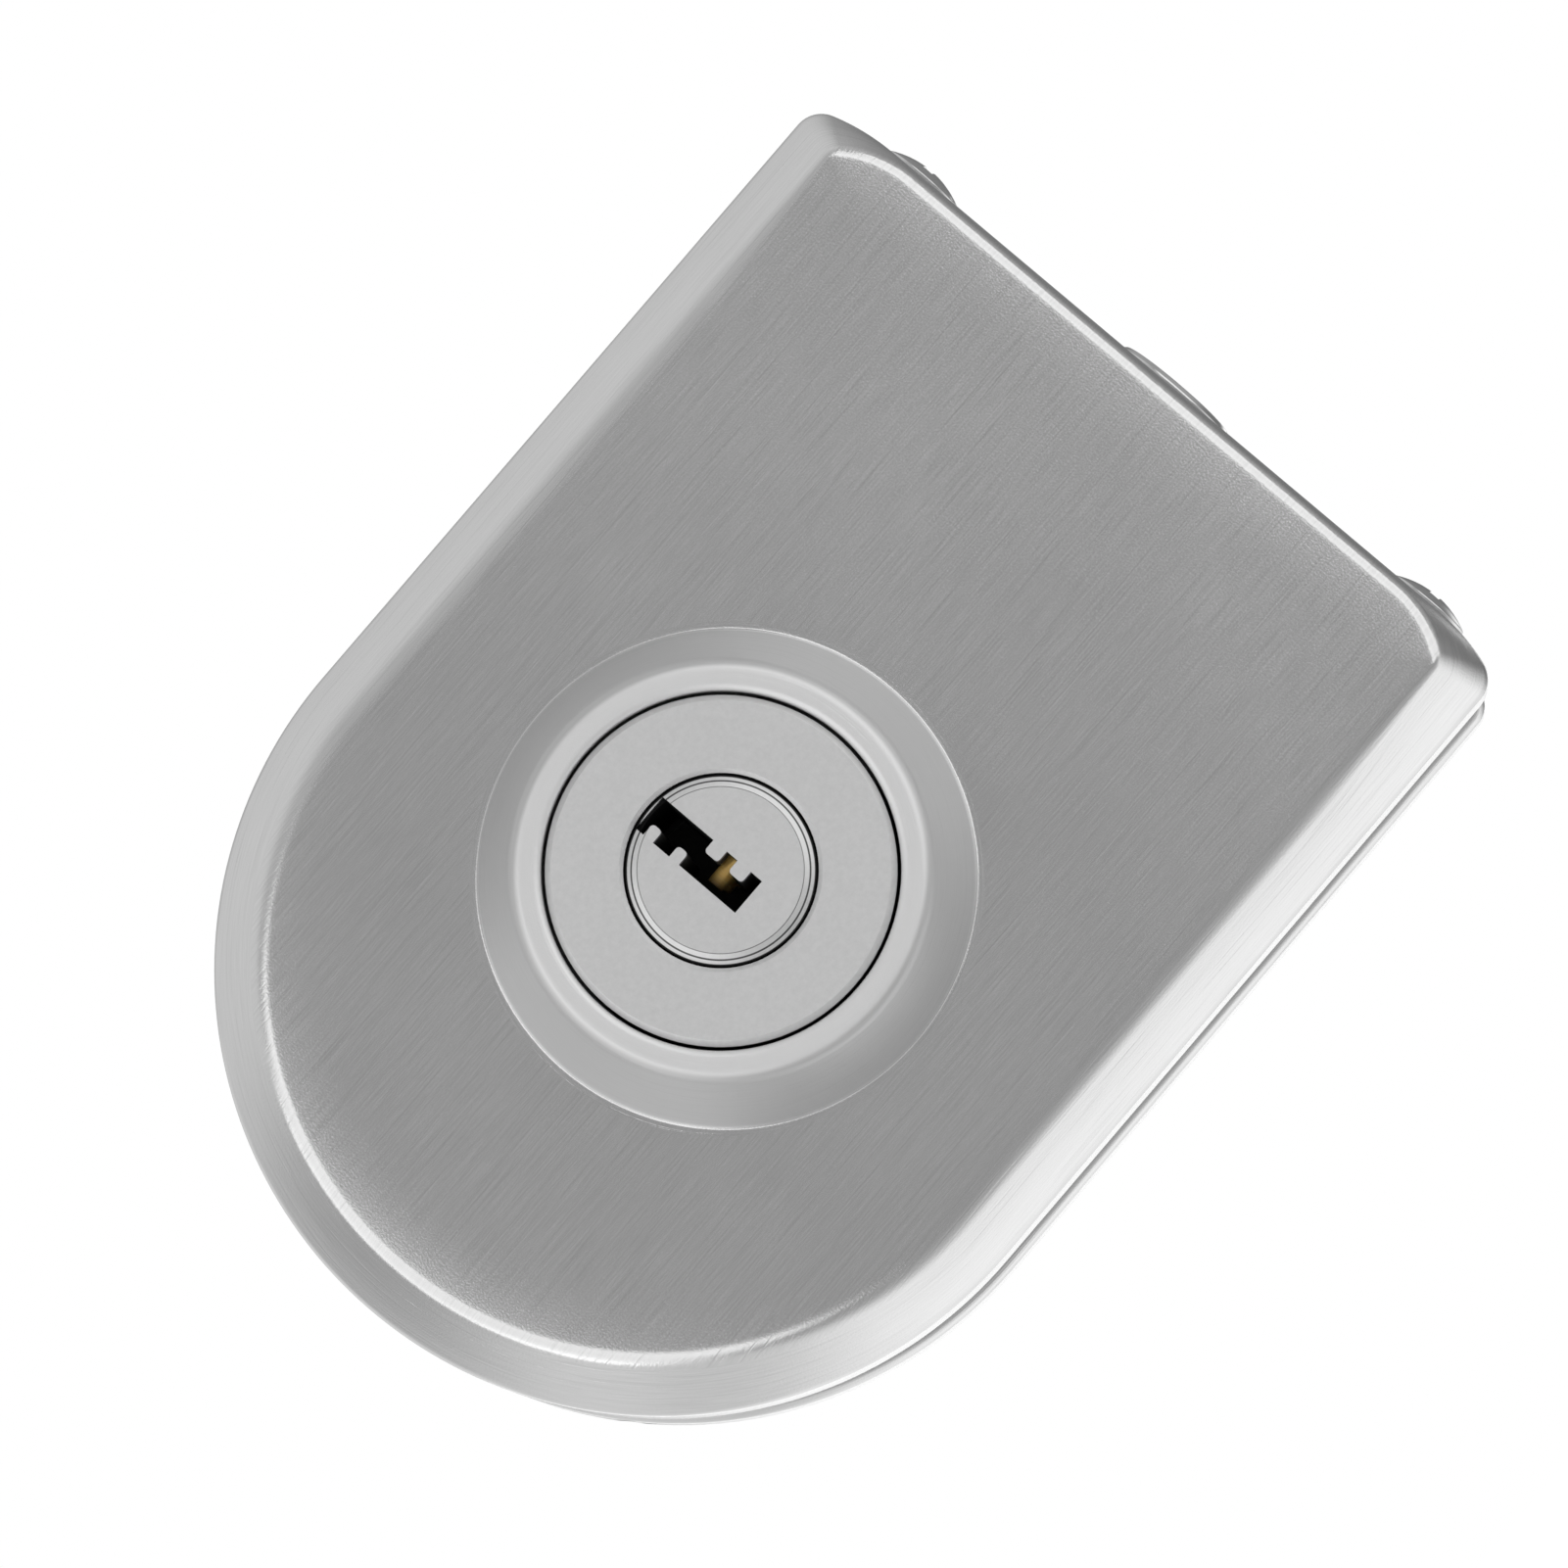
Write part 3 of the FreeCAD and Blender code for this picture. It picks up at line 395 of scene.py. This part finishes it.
def bend(corner_in, corner, corner_out, radius, steps):
    """Points of an arc that rounds a corner of a section, from one tangent point to the other."""
    a = np.array(corner_in, float) - corner
    b = np.array(corner_out, float) - corner
    a /= np.linalg.norm(a)
    b /= np.linalg.norm(b)
    inner = math.acos(float(np.clip(a @ b, -1, 1)))
    reach = radius / math.tan(inner / 2)
    middle = (a + b) / np.linalg.norm(a + b)
    centre = np.array(corner, float) + middle * radius / math.sin(inner / 2)
    start = np.array(corner, float) + a * reach - centre
    end = np.array(corner, float) + b * reach - centre
    sweep = math.pi - inner
    points = []
    for step in range(steps + 1):
        share = step / steps
        points.append(centre + (start * math.sin(sweep * (1 - share)) + end * math.sin(sweep * share))
                      / math.sin(sweep))
    return points


def outer_section(form, wide, face_radius, fall):
    """Section of a cover's outside as (inset, depth): over the rim, up the wall and up the slope.

    wide is the slope's width in plan. The last rounding runs smoothly into the crown, which starts
    fall below the face. Its height and its angle depend on each other and settle in a few rounds.
    """
    shoulder = cover_rim + form["wall"]
    face = cover_rim + form["depth"]
    section = bend((beyond, cover_rim), (0, cover_rim), (0, shoulder), form["rim_radius"], rim_steps)
    section += [(0.0, notch_depth), (0.0, (notch_depth + shoulder) / 2)]
    section += bend((0, cover_rim), (0, shoulder), (wide, face), form["shoulder_radius"], fillet_steps)
    rise = math.atan(2 * fall / crown_reach)
    edge = face - fall
    for _ in range(crown_rounds):
        bent = math.atan2(edge - shoulder, wide) - rise
        edge = face - fall - face_radius * math.tan(bent / 2) * math.sin(rise)
    over = (wide + beyond, edge + beyond * math.tan(rise))
    rounding = bend((0, shoulder), (wide, edge), over, face_radius, fillet_steps)
    start = section[-1]
    run = rounding[0] - start
    out = np.array([-run[1], run[0]]) / np.linalg.norm(run)
    for step in range(1, slope_steps):
        share = step / slope_steps
        section.append(start + run * share + out * form["bulge"] * 4 * share * (1 - share))
    return np.array(section + rounding)


def shell_rings(form, inset, shares):
    """Rings of a cover's wall and slope, from its rim to the edge of its flat face, as (x, depth, z).

    With an inset it is the sheet's inner side, whose corners are left sharp. It also gives how far
    along the section each ring lies, and the crown's fall at each column.
    """
    half = half_width - inset
    low, outward = d_points(-inset, half, inset - lock_length, outline_corner - inset,
                            outline_sweep_radius - inset, outline_sweep_turn, shares)
    high, inward = d_points(-inset - form["edge_inset"], half - form["slope_inset"],
                            inset - lock_length + form["end_inset"], face_corner - inset,
                            face_sweep_radius - inset, face_sweep_turn, shares)
    lean = high - low
    reach = -(lean * outward).sum(axis=1)
    facing = -outward[:, 0]
    crown = np.interp(facing, (-1, 0, 1), form["crown"])
    if inset:
        shoulder = cover_rim + form["wall"]
        face = cover_rim + form["depth"] - inset
        sections = [[(0.0, cover_rim), (0.0, notch_depth), (0.0, shoulder), (wide, face)] for wide in reach]
    else:
        radii = np.interp(facing, (-1, 0, 1), form["face_radius"])
        taper = np.clip((low[:, 0] - corner_taper_start) / corner_taper_length, 0, 1)
        radii += (form["face_radius"][0] - radii) * taper
        sections = [outer_section(form, *sizes) for sizes in zip(reach, radii, crown)]
    sections = np.array(sections)
    rings = []
    for row in range(sections.shape[1]):
        along = sections[:, row, 0]
        on_slope = np.minimum(along / reach, 1.0)[:, None]
        past = np.maximum(along - reach, 0.0)[:, None]
        plan = low + lean * on_slope - inward * past
        rings.append(np.column_stack([plan[:, 0], sections[:, row, 1], plan[:, 1]]))
    lengths = np.append(0.0, np.cumsum(np.linalg.norm(np.diff(sections[0], axis=0), axis=1)))
    return rings, lengths, crown


def face_rings(face, edge_ring, crown):
    """Rings over the flat face's rim, where the drawn sheet falls away by crown."""
    start = edge_ring[:, [0, 2]]
    run = np.roll(start, -1, axis=0) - start
    inward = np.array([collar_x, 0.0]) - start
    inward /= np.linalg.norm(inward, axis=1)[:, None]
    rings = []
    for reach in crown_rows:
        plan = start + inward * reach
        gap = plan[:, None, :] - start[None, :, :]
        share = np.clip((gap * run).sum(axis=2) / (run * run).sum(axis=1), 0, 1)
        nearest = np.linalg.norm(gap - run * share[:, :, None], axis=2).min(axis=1)
        sag = crown * (1 - np.minimum(nearest / crown_reach, 1)) ** 2
        rings.append(np.column_stack([plan[:, 0], face - sag, plan[:, 1]]))
    return rings


def collar_profile(face):
    """Section of the collar as (radius, depth): up the flank, over the lip, and back down inside.

    It starts on the flat face, so that the face stays flat up to the collar's foot.
    """
    lip = face + collar_height
    base = (collar_base_radius, face)
    rim = (collar_lip_radius, lip)
    mouth_edge = (collar_hole_radius, lip)
    mouth_end = (collar_hole_radius, lip - sheet)
    flat = [(collar_base_radius + gap, face) for gap in foot_rows]
    foot = bend((collar_base_radius + beyond, face), base, rim, collar_foot_rounding, foot_steps)
    top = bend(base, rim, mouth_edge, collar_lip_rounding, fillet_steps)
    flank = [foot[-1] * (1 - share) + top[0] * share for share in flank_rows]
    mouth = bend(rim, mouth_edge, mouth_end, collar_mouth_rounding, mouth_steps)
    inside = [mouth_end, (collar_hole_radius + collar_turn_in, lip - sheet),
              (collar_base_radius - sheet, face - sheet)]
    return flat + [tuple(point) for point in foot + flank + top + mouth] + inside


def cover_rows(form, with_collar):
    """Rows of a cover's mesh, from its rim over the outside and back under the sheet to its rim.

    A row is (ring, length, kind): its points as (x, depth, z), how far along the section it lies, and
    how the grain runs on the band that leads to it. A band of the kind "none" is left open. It also
    gives each column's turn about the collar's axis.
    """
    shares = outline_shares()
    face = cover_rim + form["depth"]
    outer, outer_lengths, fall = shell_rings(form, 0.0, shares)
    inner, inner_lengths, _ = shell_rings(form, sheet, shares)
    rows = []
    for number, (ring, length) in enumerate(zip(outer, outer_lengths)):
        rows.append((ring, length, "shell" if number < len(outer) - fillet_steps else "flat"))
    for ring in face_rings(face, outer[-1], fall):
        rows.append((ring, 0.0, "flat"))
    inmost = rows[-1][0]
    turns = np.unwrap(np.arctan2(inmost[:, 2], inmost[:, 0] - collar_x))
    if with_collar:
        profile = collar_profile(face)
        length = 0.0
        for number, (radius, depth) in enumerate(profile):
            ring = np.column_stack([collar_x + radius * np.cos(turns), np.full(len(turns), depth),
                                    radius * np.sin(turns)])
            if number:
                length += math.dist(profile[number - 1], (radius, depth))
            rows.append((ring, length, "round" if number else "flat"))
    kind = "flat" if with_collar else "none"
    for ring, length in zip(inner[::-1], inner_lengths[::-1]):
        rows.append((ring, length, kind))
        kind = "shell"
    return rows, turns


def smooth(mesh, angle):
    """Smooth shading, with edges sharper than angle, in degrees, left sharp."""
    mesh.shade_smooth()
    mesh.set_sharp_from_angle(angle=math.radians(angle))


def mesh_object(name, vertices, faces, grain):
    """Closed mesh in metres, faces outward, smooth up to an angle, with its grain as a UV map."""
    mesh = bpy.data.meshes.new(name)
    mesh.from_pydata([tuple(float(c) * MM for c in v) for v in vertices], [], faces)
    layer = mesh.uv_layers.new(name="grain")
    layer.data.foreach_set("uv", [float(c) * MM for corner in grain for c in corner])
    work = bmesh.new()
    work.from_mesh(mesh)
    bmesh.ops.recalc_face_normals(work, faces=work.faces)
    work.to_mesh(mesh)
    work.free()
    smooth(mesh, skin_smooth_angle)
    piece = bpy.data.objects.new(name, mesh)
    bpy.context.scene.collection.objects.link(piece)
    return piece


def cover_skin(name, form, with_collar):
    """A drawn cover as one closed sheet, with the notch at its square edge and its collar, if any."""
    rows, turns = cover_rows(form, with_collar)
    rings = [ring for ring, _, _ in rows]
    rim = rings[0]
    count = len(rim)
    last = len(rows) - 1
    steps = np.linalg.norm(np.roll(rim, -1, axis=0) - rim, axis=1)
    around = np.append(0.0, np.cumsum(steps))
    turn_ends = np.append(turns, turns[0] + 2 * math.pi)
    vertices = [tuple(point) for ring in rings for point in ring]
    faces = []
    grain = []

    def number_of(row, column):
        return row * count + column % count

    def spot(row, column, kind):
        """Where a corner lies on the grain map: along the grain first, then across it."""
        ring, length, _ = rows[row]
        if kind == "shell":
            return (around[column], length)
        if kind == "round":
            return (turn_ends[column] * collar_base_radius, collar_grain_start + length)
        return (ring[column % count][0], ring[column % count][2])

    def panel(corners, kind):
        faces.append([number_of(*corner) for corner in corners])
        grain.extend(spot(*corner, kind) for corner in corners)

    def band(row, next_row, column, kind):
        panel([(row, column), (row, column + 1), (next_row, column + 1), (next_row, column)], kind)

    # The notch takes the bands up to notch_row outside and the last one inside
    notch_row = rim_steps + 1
    cheek = list(range(notch_row + 1)) + [last - 1, last]
    middle_z = (rim[:, 2] + np.roll(rim[:, 2], -1)) / 2
    in_notch = (rim[:, 0] > -sheet) & (np.abs(middle_z) < notch_half)
    for row in range(last):
        kind = rows[row + 1][2]
        for column in range(count):
            cut_away = in_notch[column] and (row < notch_row or row == last - 1)
            if kind != "none" and not cut_away:
                band(row, row + 1, column, kind)
    for column in range(count):
        if in_notch[column]:
            band(last - 1, notch_row, column, "shell")
        else:
            band(last, 0, column, "shell")
        if in_notch[column] and not in_notch[column - 1]:
            panel([(row, column) for row in cheek], "shell")
        if in_notch[column] and not in_notch[(column + 1) % count]:
            panel([(row, column + 1) for row in cheek], "shell")
    if not with_collar:
        inside = [kind for _, _, kind in rows].index("none")
        for row in (inside - 1, inside):
            hub = len(vertices)
            vertices.append((collar_x, rings[row][0][1], 0.0))
            for column in range(count):
                faces.append([number_of(row, column), number_of(row, column + 1), hub])
                grain.extend([spot(row, column, "flat"), spot(row, column + 1, "flat"), (collar_x, 0.0)])
    vertices = [(x, form["side"] * depth, z) for x, depth, z in vertices]
    return mesh_object(name, vertices, faces, grain)


def flatten(piece):
    """Gives a piece the plain mesh that its modifiers make, and removes the modifiers."""
    bpy.context.view_layer.update()
    result = bpy.data.meshes.new_from_object(piece.evaluated_get(bpy.context.evaluated_depsgraph_get()))
    piece.modifiers.clear()
    piece.data = result


def bore_pair_tree():
    """Geometry Nodes that cut two bores into a cover's round end, an angle either side of its middle."""
    tree = bpy.data.node_groups.new("bore_pair", "GeometryNodeTree")
    tree.interface.new_socket("Cover", in_out="OUTPUT", socket_type="NodeSocketGeometry")
    tree.interface.new_socket("Cover", in_out="INPUT", socket_type="NodeSocketGeometry")
    for name in ("Radius", "Length", "Reach", "Angle", "Centre X", "Depth"):
        tree.interface.new_socket(name, in_out="INPUT", socket_type="NodeSocketFloat")
    tree.interface.new_socket("Finish", in_out="INPUT", socket_type="NodeSocketMaterial")
    nodes = Nodes(tree)
    given = nodes.add("NodeGroupInput", {}, {}, "Cover")
    side = nodes.add("GeometryNodeInputIndex") * 2.0 - 1.0
    turn = math.pi - side * given.out("Angle")
    ahead = turn.math("COSINE")
    high = turn.math("SINE")
    outward = nodes.add("ShaderNodeCombineXYZ", {}, {"X": ahead, "Z": high})
    middle = nodes.add("ShaderNodeCombineXYZ", {}, {
        "X": ahead * given.out("Reach") + given.out("Centre X"), "Y": given.out("Depth"),
        "Z": high * given.out("Reach")})
    points = nodes.add("GeometryNodePoints", {}, {"Count": 2, "Position": middle})
    rod = nodes.add("GeometryNodeMeshCylinder", {}, {
        "Vertices": bore_sides, "Radius": given.out("Radius"), "Depth": given.out("Length")})
    along = nodes.add("FunctionNodeAlignRotationToVector", {"axis": "Z"}, {"Vector": outward})
    rods = nodes.add("GeometryNodeInstanceOnPoints", {}, {
        "Points": points, "Instance": rod, "Rotation": along})
    bored = nodes.add("GeometryNodeMeshBoolean", {"operation": "DIFFERENCE", "solver": "EXACT"},
                      {0: given, 1: rods})
    whole = nodes.add("GeometryNodeRealizeInstances", {}, {"Geometry": bored})
    done = nodes.add("GeometryNodeSetMaterial", {}, {"Geometry": whole, "Material": given.out("Finish")})
    nodes.add("NodeGroupOutput", {}, {"Cover": done})
    return tree


def run_tree(piece, tree, given):
    """Runs Geometry Nodes on a piece with the inputs given by name, and keeps the plain mesh."""
    run = piece.modifiers.new(tree.name, "NODES")
    run.node_group = tree
    for socket in tree.interface.items_tree:
        if socket.in_out == "INPUT" and socket.name in given:
            run[socket.identifier] = given[socket.name]
    flatten(piece)


def rounded_copy(node, name, smooth_angle, edge):
    """A copy of a CAD node with its doubles merged, smooth rounds and its edges broken by edge."""
    source = frame["nodes"][node].data
    points = np.zeros(len(source.vertices) * 3)
    source.vertices.foreach_get("co", points)
    points = np.round(points.reshape(-1, 3), merge_digits)
    merged, index = np.unique(points, axis=0, return_inverse=True)
    index = index.reshape(-1)
    faces = []
    for polygon in source.polygons:
        corners = [int(index[v]) for v in polygon.vertices]
        if len(set(corners)) == len(corners):
            faces.append(corners)
    mesh = bpy.data.meshes.new(name)
    mesh.from_pydata(merged.tolist(), [], faces)
    work = bmesh.new()
    work.from_mesh(mesh)
    bmesh.ops.dissolve_limit(work, angle_limit=math.radians(flat_angle), verts=work.verts, edges=work.edges)
    work.to_mesh(mesh)
    work.free()
    smooth(mesh, smooth_angle)
    piece = bpy.data.objects.new(name, mesh)
    bpy.context.scene.collection.objects.link(piece)
    broken = piece.modifiers.new("broken_edges", "BEVEL")
    broken.width = edge * MM
    broken.segments = bevel_segments
    broken.limit_method = "ANGLE"
    broken.angle_limit = math.radians(smooth_angle + 5)
    broken.harden_normals = True
    flatten(piece)
    return piece


def paint(piece, material):
    piece.data.materials.clear()
    piece.data.materials.append(material)


def settle(piece, body, material, node):
    """Paints a piece, lets it ride on its body and puts it in place of its CAD node."""
    paint(piece, material)
    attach(piece, body)
    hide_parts(node)


# Finishes. The fades are painted shade: they darken the gaps in the cylinder's face, and the key pins
# towards the round end.
gap_shade_start = -26.75
gap_shade_end = -26.3
# The collar's lip is painted lighter, partly polish and partly a painted highlight, and its flank darker as
# painted shade.
cover_steel = metal(
    "brushed_cover_steel", grey(0.75), grey(0.85), roughness=0.235, along=200.0, across=6500.0,
    grain_depth=20.0, speckle=0.62, mottle=0.06, place="grain", scratches=0.3,
    boss={"radius": collar_base_radius, "lip_radius": collar_lip_radius - 0.6, "rougher": 0.3,
          "face": cover_rim + front["depth"], "lip": grey(0.98), "lip_highlight_share": 0.8,
          "flank": grey(0.54), "flank_shade_share": 0.5})
cylinder_nickel = metal(
    "cylinder_nickel", grey(0.82), grey(0.9), roughness=0.51, along=2500.0, across=2500.0,
    grain_depth=4.0, speckle=0.6, mottle=0.04, fade=("y", gap_shade_start, gap_shade_end, grey(0.04)))
# The plug's dark rings are painted shade in its turned grooves and in the gap round its edge.
plug_nickel = metal(
    "plug_nickel", grey(0.83), grey(0.91), roughness=0.5, along=2500.0, across=2500.0,
    grain_depth=4.0, speckle=0.6, mottle=0.04, fade=("y", gap_shade_start, gap_shade_end, grey(0.14)),
    grooves=((7.38, 0.09, grey(0.12)), (6.88, 0.05, grey(0.3)), (7.8, 0.09, grey(0.04))))
plate_steel = metal("milled_plate_steel", grey(0.44), grey(0.58), roughness=0.38, along=300.0,
                    across=6000.0, grain_depth=6.0)
bolt_steel = metal("polished_bolt_steel", grey(0.74), grey(0.82), roughness=0.16, along=300.0,
                   across=5000.0, grain_depth=1.5)
fastener_steel = metal("plated_fastener_steel", grey(0.7), grey(0.8), roughness=0.2, along=3000.0,
                       across=3000.0, grain_depth=2.0)
spring_steel = metal("oiled_spring_steel", grey(0.3), grey(0.45), roughness=0.3, along=2500.0,
                     across=2500.0, grain_depth=3.0)
brass = metal("turned_brass", (0.62, 0.36, 0.1, 1.0), (0.86, 0.56, 0.2, 1.0), roughness=0.26,
              along=5000.0, across=400.0, grain_depth=3.0)
# The key pins darken towards the round end as painted shade.
pin_brass = metal("pin_brass_painted_shade", (0.95, 0.55, 0.12, 1.0), (1.0, 0.74, 0.26, 1.0), roughness=0.34,
                  along=5000.0, across=600.0, grain_depth=10.0, metallic=0.25,
                  fade=("x", -55.4, -56.9, (0.05, 0.025, 0.01, 1.0)))
case_zinc = cast_zinc("die_cast_zinc")
gasket_rubber = rubber("black_gasket_rubber")

# The plain nodes: those under a finer piece are painted too, and give way to it below
finishes = {"cover_steel": plate_steel, "plate_steel": plate_steel, "satin_nickel": cylinder_nickel,
            "bolt_steel": bolt_steel, "fastener_steel": fastener_steel, "spring_steel": spring_steel,
            "brass": brass, "case_zinc": case_zinc, "gasket_rubber": gasket_rubber}
for subpart in frame["record"]["subparts"]:
    paint(frame["nodes"][subpart["node"]], finishes[subpart["material_slot"]])

# Covers
front_skin = cover_skin("front_cover_skin", front, True)
settle(front_skin, "housing", cover_steel, "front_cover")

rear_skin = cover_skin("rear_cover_skin", rear, False)
bore_start, bore_end = set_screw_bore
run_tree(rear_skin, bore_pair_tree(), {
    "Radius": set_screw_hole_radius * MM, "Length": (bore_end - bore_start) * MM,
    "Reach": (bore_start + bore_end) / 2 * MM, "Angle": math.radians(set_screw_angle),
    "Centre X": arc_centre_x * MM, "Depth": set_screw_depth * MM, "Finish": cover_steel})
smooth(rear_skin.data, skin_smooth_angle)
settle(rear_skin, "housing", cover_steel, "rear_cover")

# The other pieces that show, each with its smooth angle in degrees and the width of its broken edges
for node, body, slot_name, material, smooth_angle, edge in (
        ("cylinder_body", "housing", "satin_nickel", cylinder_nickel, 18.0, 0.08),
        ("cylinder_plug", "plug", "satin_nickel", plug_nickel, 18.0, 0.12),
        ("faceplate", "housing", "cover_steel", plate_steel, 30.0, 0.15),
        ("faceplate_screws", "housing", "fastener_steel", fastener_steel, 30.0, 0.08),
        ("rear_set_screws", "housing", "fastener_steel", fastener_steel, 30.0, 0.08),
        ("deadbolt", "bolt", "bolt_steel", bolt_steel, 30.0, 0.12),
        ("key_pins", "plug", "brass", pin_brass, 30.0, 0.05)):
    settle(rounded_copy(node, node + "_smooth", smooth_angle, edge), body, material, node)

# Camera at the photograph's viewing angle: it stands a little below the lock and towards its round
# end. picture_up is the picture's up direction, from +X towards +Z.
camera_distance = 800.0
camera_target = Vector((-46.27, -13.0, 2.19))
focal_length = 219.9
sensor_width = 36.0
tilt_up = math.radians(6.12)
tilt_side = math.radians(1.91)
picture_up = math.radians(40.651)


def place_camera():
    away = Vector((-math.sin(tilt_side) * math.cos(tilt_up), -math.cos(tilt_side) * math.cos(tilt_up),
                   -math.sin(tilt_up)))
    right = (-away).cross(Vector((math.cos(picture_up), 0.0, math.sin(picture_up)))).normalized()
    up = away.cross(right)
    lens = bpy.data.cameras.new("camera")
    lens.lens = focal_length
    lens.sensor_width = sensor_width
    lens.clip_end = 50.0
    camera = bpy.data.objects.new("camera", lens)
    facing = Matrix((right, up, away)).transposed().to_4x4()
    camera.matrix_world = Matrix.Translation((camera_target + away * camera_distance) * MM) @ facing
    bpy.context.scene.collection.objects.link(camera)
    bpy.context.scene.camera = camera


place_camera()

# Studio, in metres from here on: a white room, a plain floor, a grey wall that the metal mirrors,
# and two soft lamps. Whatever the camera sees of the room or the floor is white.
room_level = 0.55
floor_glow = 0.55
floor_half = 40.0
floor_height = -0.12
wall_radius = 1.6

# What the metal mirrors: each tone stands in the direction given, towards +X, +Y and +Z, and the
# wall's tone anywhere is a mean of them, weighted by nearness
tone_sharpness = 22.0
studio_tones = (
    ((0.03, -0.99, 0.11), 0.325),
    ((-0.74, -0.66, 0.0), 0.12),
    ((0.74, -0.66, 0.0), 0.12),
    ((0.0, -0.6, 0.8), 0.46),
    ((0.0, -0.15, 0.99), 0.62),
    ((0.0, -0.85, -0.5), 0.32),
    ((0.0, -0.5, -0.86), 0.4),
    ((0.0, -0.15, -0.99), 0.6),
    ((0.03, 0.38, 0.93), 0.68),
    ((-0.33, 0.29, 0.9), 0.66),
    ((-0.74, 0.19, 0.65), 0.66),
    ((-0.96, 0.12, 0.25), 0.34),
    ((-0.99, 0.08, -0.02), 0.34),
    ((-0.92, 0.07, -0.38), 0.84),
    ((-0.67, 0.08, -0.74), 0.5),
    ((-0.35, 0.1, -0.93), 1.1),
    ((0.03, 0.17, -0.98), 1.25),
    ((0.99, 0.1, 0.0), 0.4),
    ((0.24, 0.38, 0.89), 0.66),
    ((0.41, 0.52, 0.75), 0.62),
    ((0.53, 0.67, 0.52), 0.34),
    ((0.3, 0.18, -0.93), 1.1),
    ((0.54, 0.35, -0.77), 0.5),
    ((0.7, 0.56, -0.45), 0.16),
    ((-0.75, 0.65, 0.11), 0.75),
    ((0.75, 0.65, 0.11), 0.25),
    ((0.03, 0.6, -0.8), 0.95),
    ((0.03, 0.75, 0.66), 0.42),
    ((0.3, 0.94, 0.14), 0.17),
)

# A bright strip low behind the lock, which the covers' lower side walls mirror
strip_tone = 1.3
strip_top = (-0.09, -0.01)
strip_foot = (-0.4, -0.2)
strip_side = (0.75, 0.92)

# Lamps, one on either side of the keyed front, a metre away. A lamp's level is the tone it shows.
lamp_width = 1.25
lamp_height = 1.35
lamp_level = 0.9
lamp_azimuth = math.radians(48)
lamp_aim = Vector((-0.05, 0.0, 0.0))


def white_room():
    world = bpy.data.worlds.new("white_room")
    world.use_nodes = True
    world.cycles.sampling_method = "NONE"
    nodes = Nodes(world.node_tree)
    level = nodes.in_view() * (1.0 - room_level) + room_level
    background = nodes.add("ShaderNodeBackground", {}, {"Color": grey(1.0), "Strength": level})
    nodes.add("ShaderNodeOutputWorld", {}, {"Surface": background})
    bpy.context.scene.world = world


def pale_floor():
    """A wide floor that takes the shadow and doesn't show in the metal."""
    material, nodes = new_material("pale_floor")
    fleck = nodes.noise(object_place(nodes), (40.0, 40.0, 40.0))
    paper = nodes.add("ShaderNodeBsdfDiffuse", {}, {"Color": nodes.blend(fleck, grey(0.84), grey(0.86))})
    glow = nodes.add("ShaderNodeEmission", {}, {
        "Color": grey(1.0), "Strength": nodes.in_view() * floor_glow})
    nodes.surface(nodes.add("ShaderNodeAddShader", {}, {0: paper, 1: glow}))
    signs = ((-1, -1), (1, -1), (1, 1), (-1, 1))
    mesh = bpy.data.meshes.new("floor")
    mesh.from_pydata([(x * floor_half, y * floor_half, floor_height) for x, y in signs], [], [(0, 1, 2, 3)])
    piece = bpy.data.objects.new("floor", mesh)
    piece.visible_glossy = False
    bpy.context.scene.collection.objects.link(piece)
    paint(piece, material)
    return piece


def studio_wall():
    """A round wall that shows only in the metal, with the studio's tones."""
    material, nodes = new_material("studio_wall")
    material.cycles.emission_sampling = "NONE"
    unit = nodes.add("ShaderNodeVectorMath", {"operation": "NORMALIZE"}, {0: object_place(nodes)})
    split = nodes.add("ShaderNodeSeparateXYZ", {}, {0: unit})
    behind = split.out("Y").step(*strip_side)
    height = split.out("Z")
    strip = (1.0 - height.step(*strip_top)) * height.step(*strip_foot) * behind
    total = 0.0
    weights = 0.0
    for direction, tone in studio_tones:
        nearness = nodes.add("ShaderNodeVectorMath", {"operation": "DOT_PRODUCT"},
                             {0: unit, 1: Vector(direction).normalized()}, 1)
        weight = ((nearness - 1.0) * tone_sharpness).math("EXPONENT")
        total = weight * tone + total
        weights = weight + weights
    mean = total / weights
    nodes.surface(nodes.add("ShaderNodeEmission", {}, {
        "Color": grey(1.0), "Strength": mean + (strip_tone - mean) * strip}))
    mesh = bpy.data.meshes.new("wall")
    work = bmesh.new()
    bmesh.ops.create_uvsphere(work, u_segments=48, v_segments=24, radius=wall_radius)
    work.to_mesh(mesh)
    work.free()
    piece = bpy.data.objects.new("studio_wall", mesh)
    piece.visible_camera = False
    piece.visible_diffuse = False
    piece.visible_shadow = False
    piece.visible_transmission = False
    bpy.context.scene.collection.objects.link(piece)
    paint(piece, material)
    return piece


def soft_lamp(name, side):
    """An upright lamp on the left, at side -1, or on the right, at side 1."""
    lamp_data = bpy.data.lights.new(name, "AREA")
    lamp_data.shape = "RECTANGLE"
    lamp_data.size = lamp_width
    lamp_data.size_y = lamp_height
    lamp_data.energy = lamp_level * math.pi * lamp_width * lamp_height
    lamp = bpy.data.objects.new(name, lamp_data)
    direction = Vector((side * math.sin(lamp_azimuth), -math.cos(lamp_azimuth), 0.0))
    lamp.location = lamp_aim + direction
    lamp.rotation_euler = direction.to_track_quat("Z", "Y").to_euler()
    lamp.visible_camera = False
    bpy.context.scene.collection.objects.link(lamp)


white_room()
floor = pale_floor()
wall = studio_wall()
soft_lamp("lamp_left", -1)
soft_lamp("lamp_right", 1)

bpy.context.scene.view_settings.view_transform = "Standard"
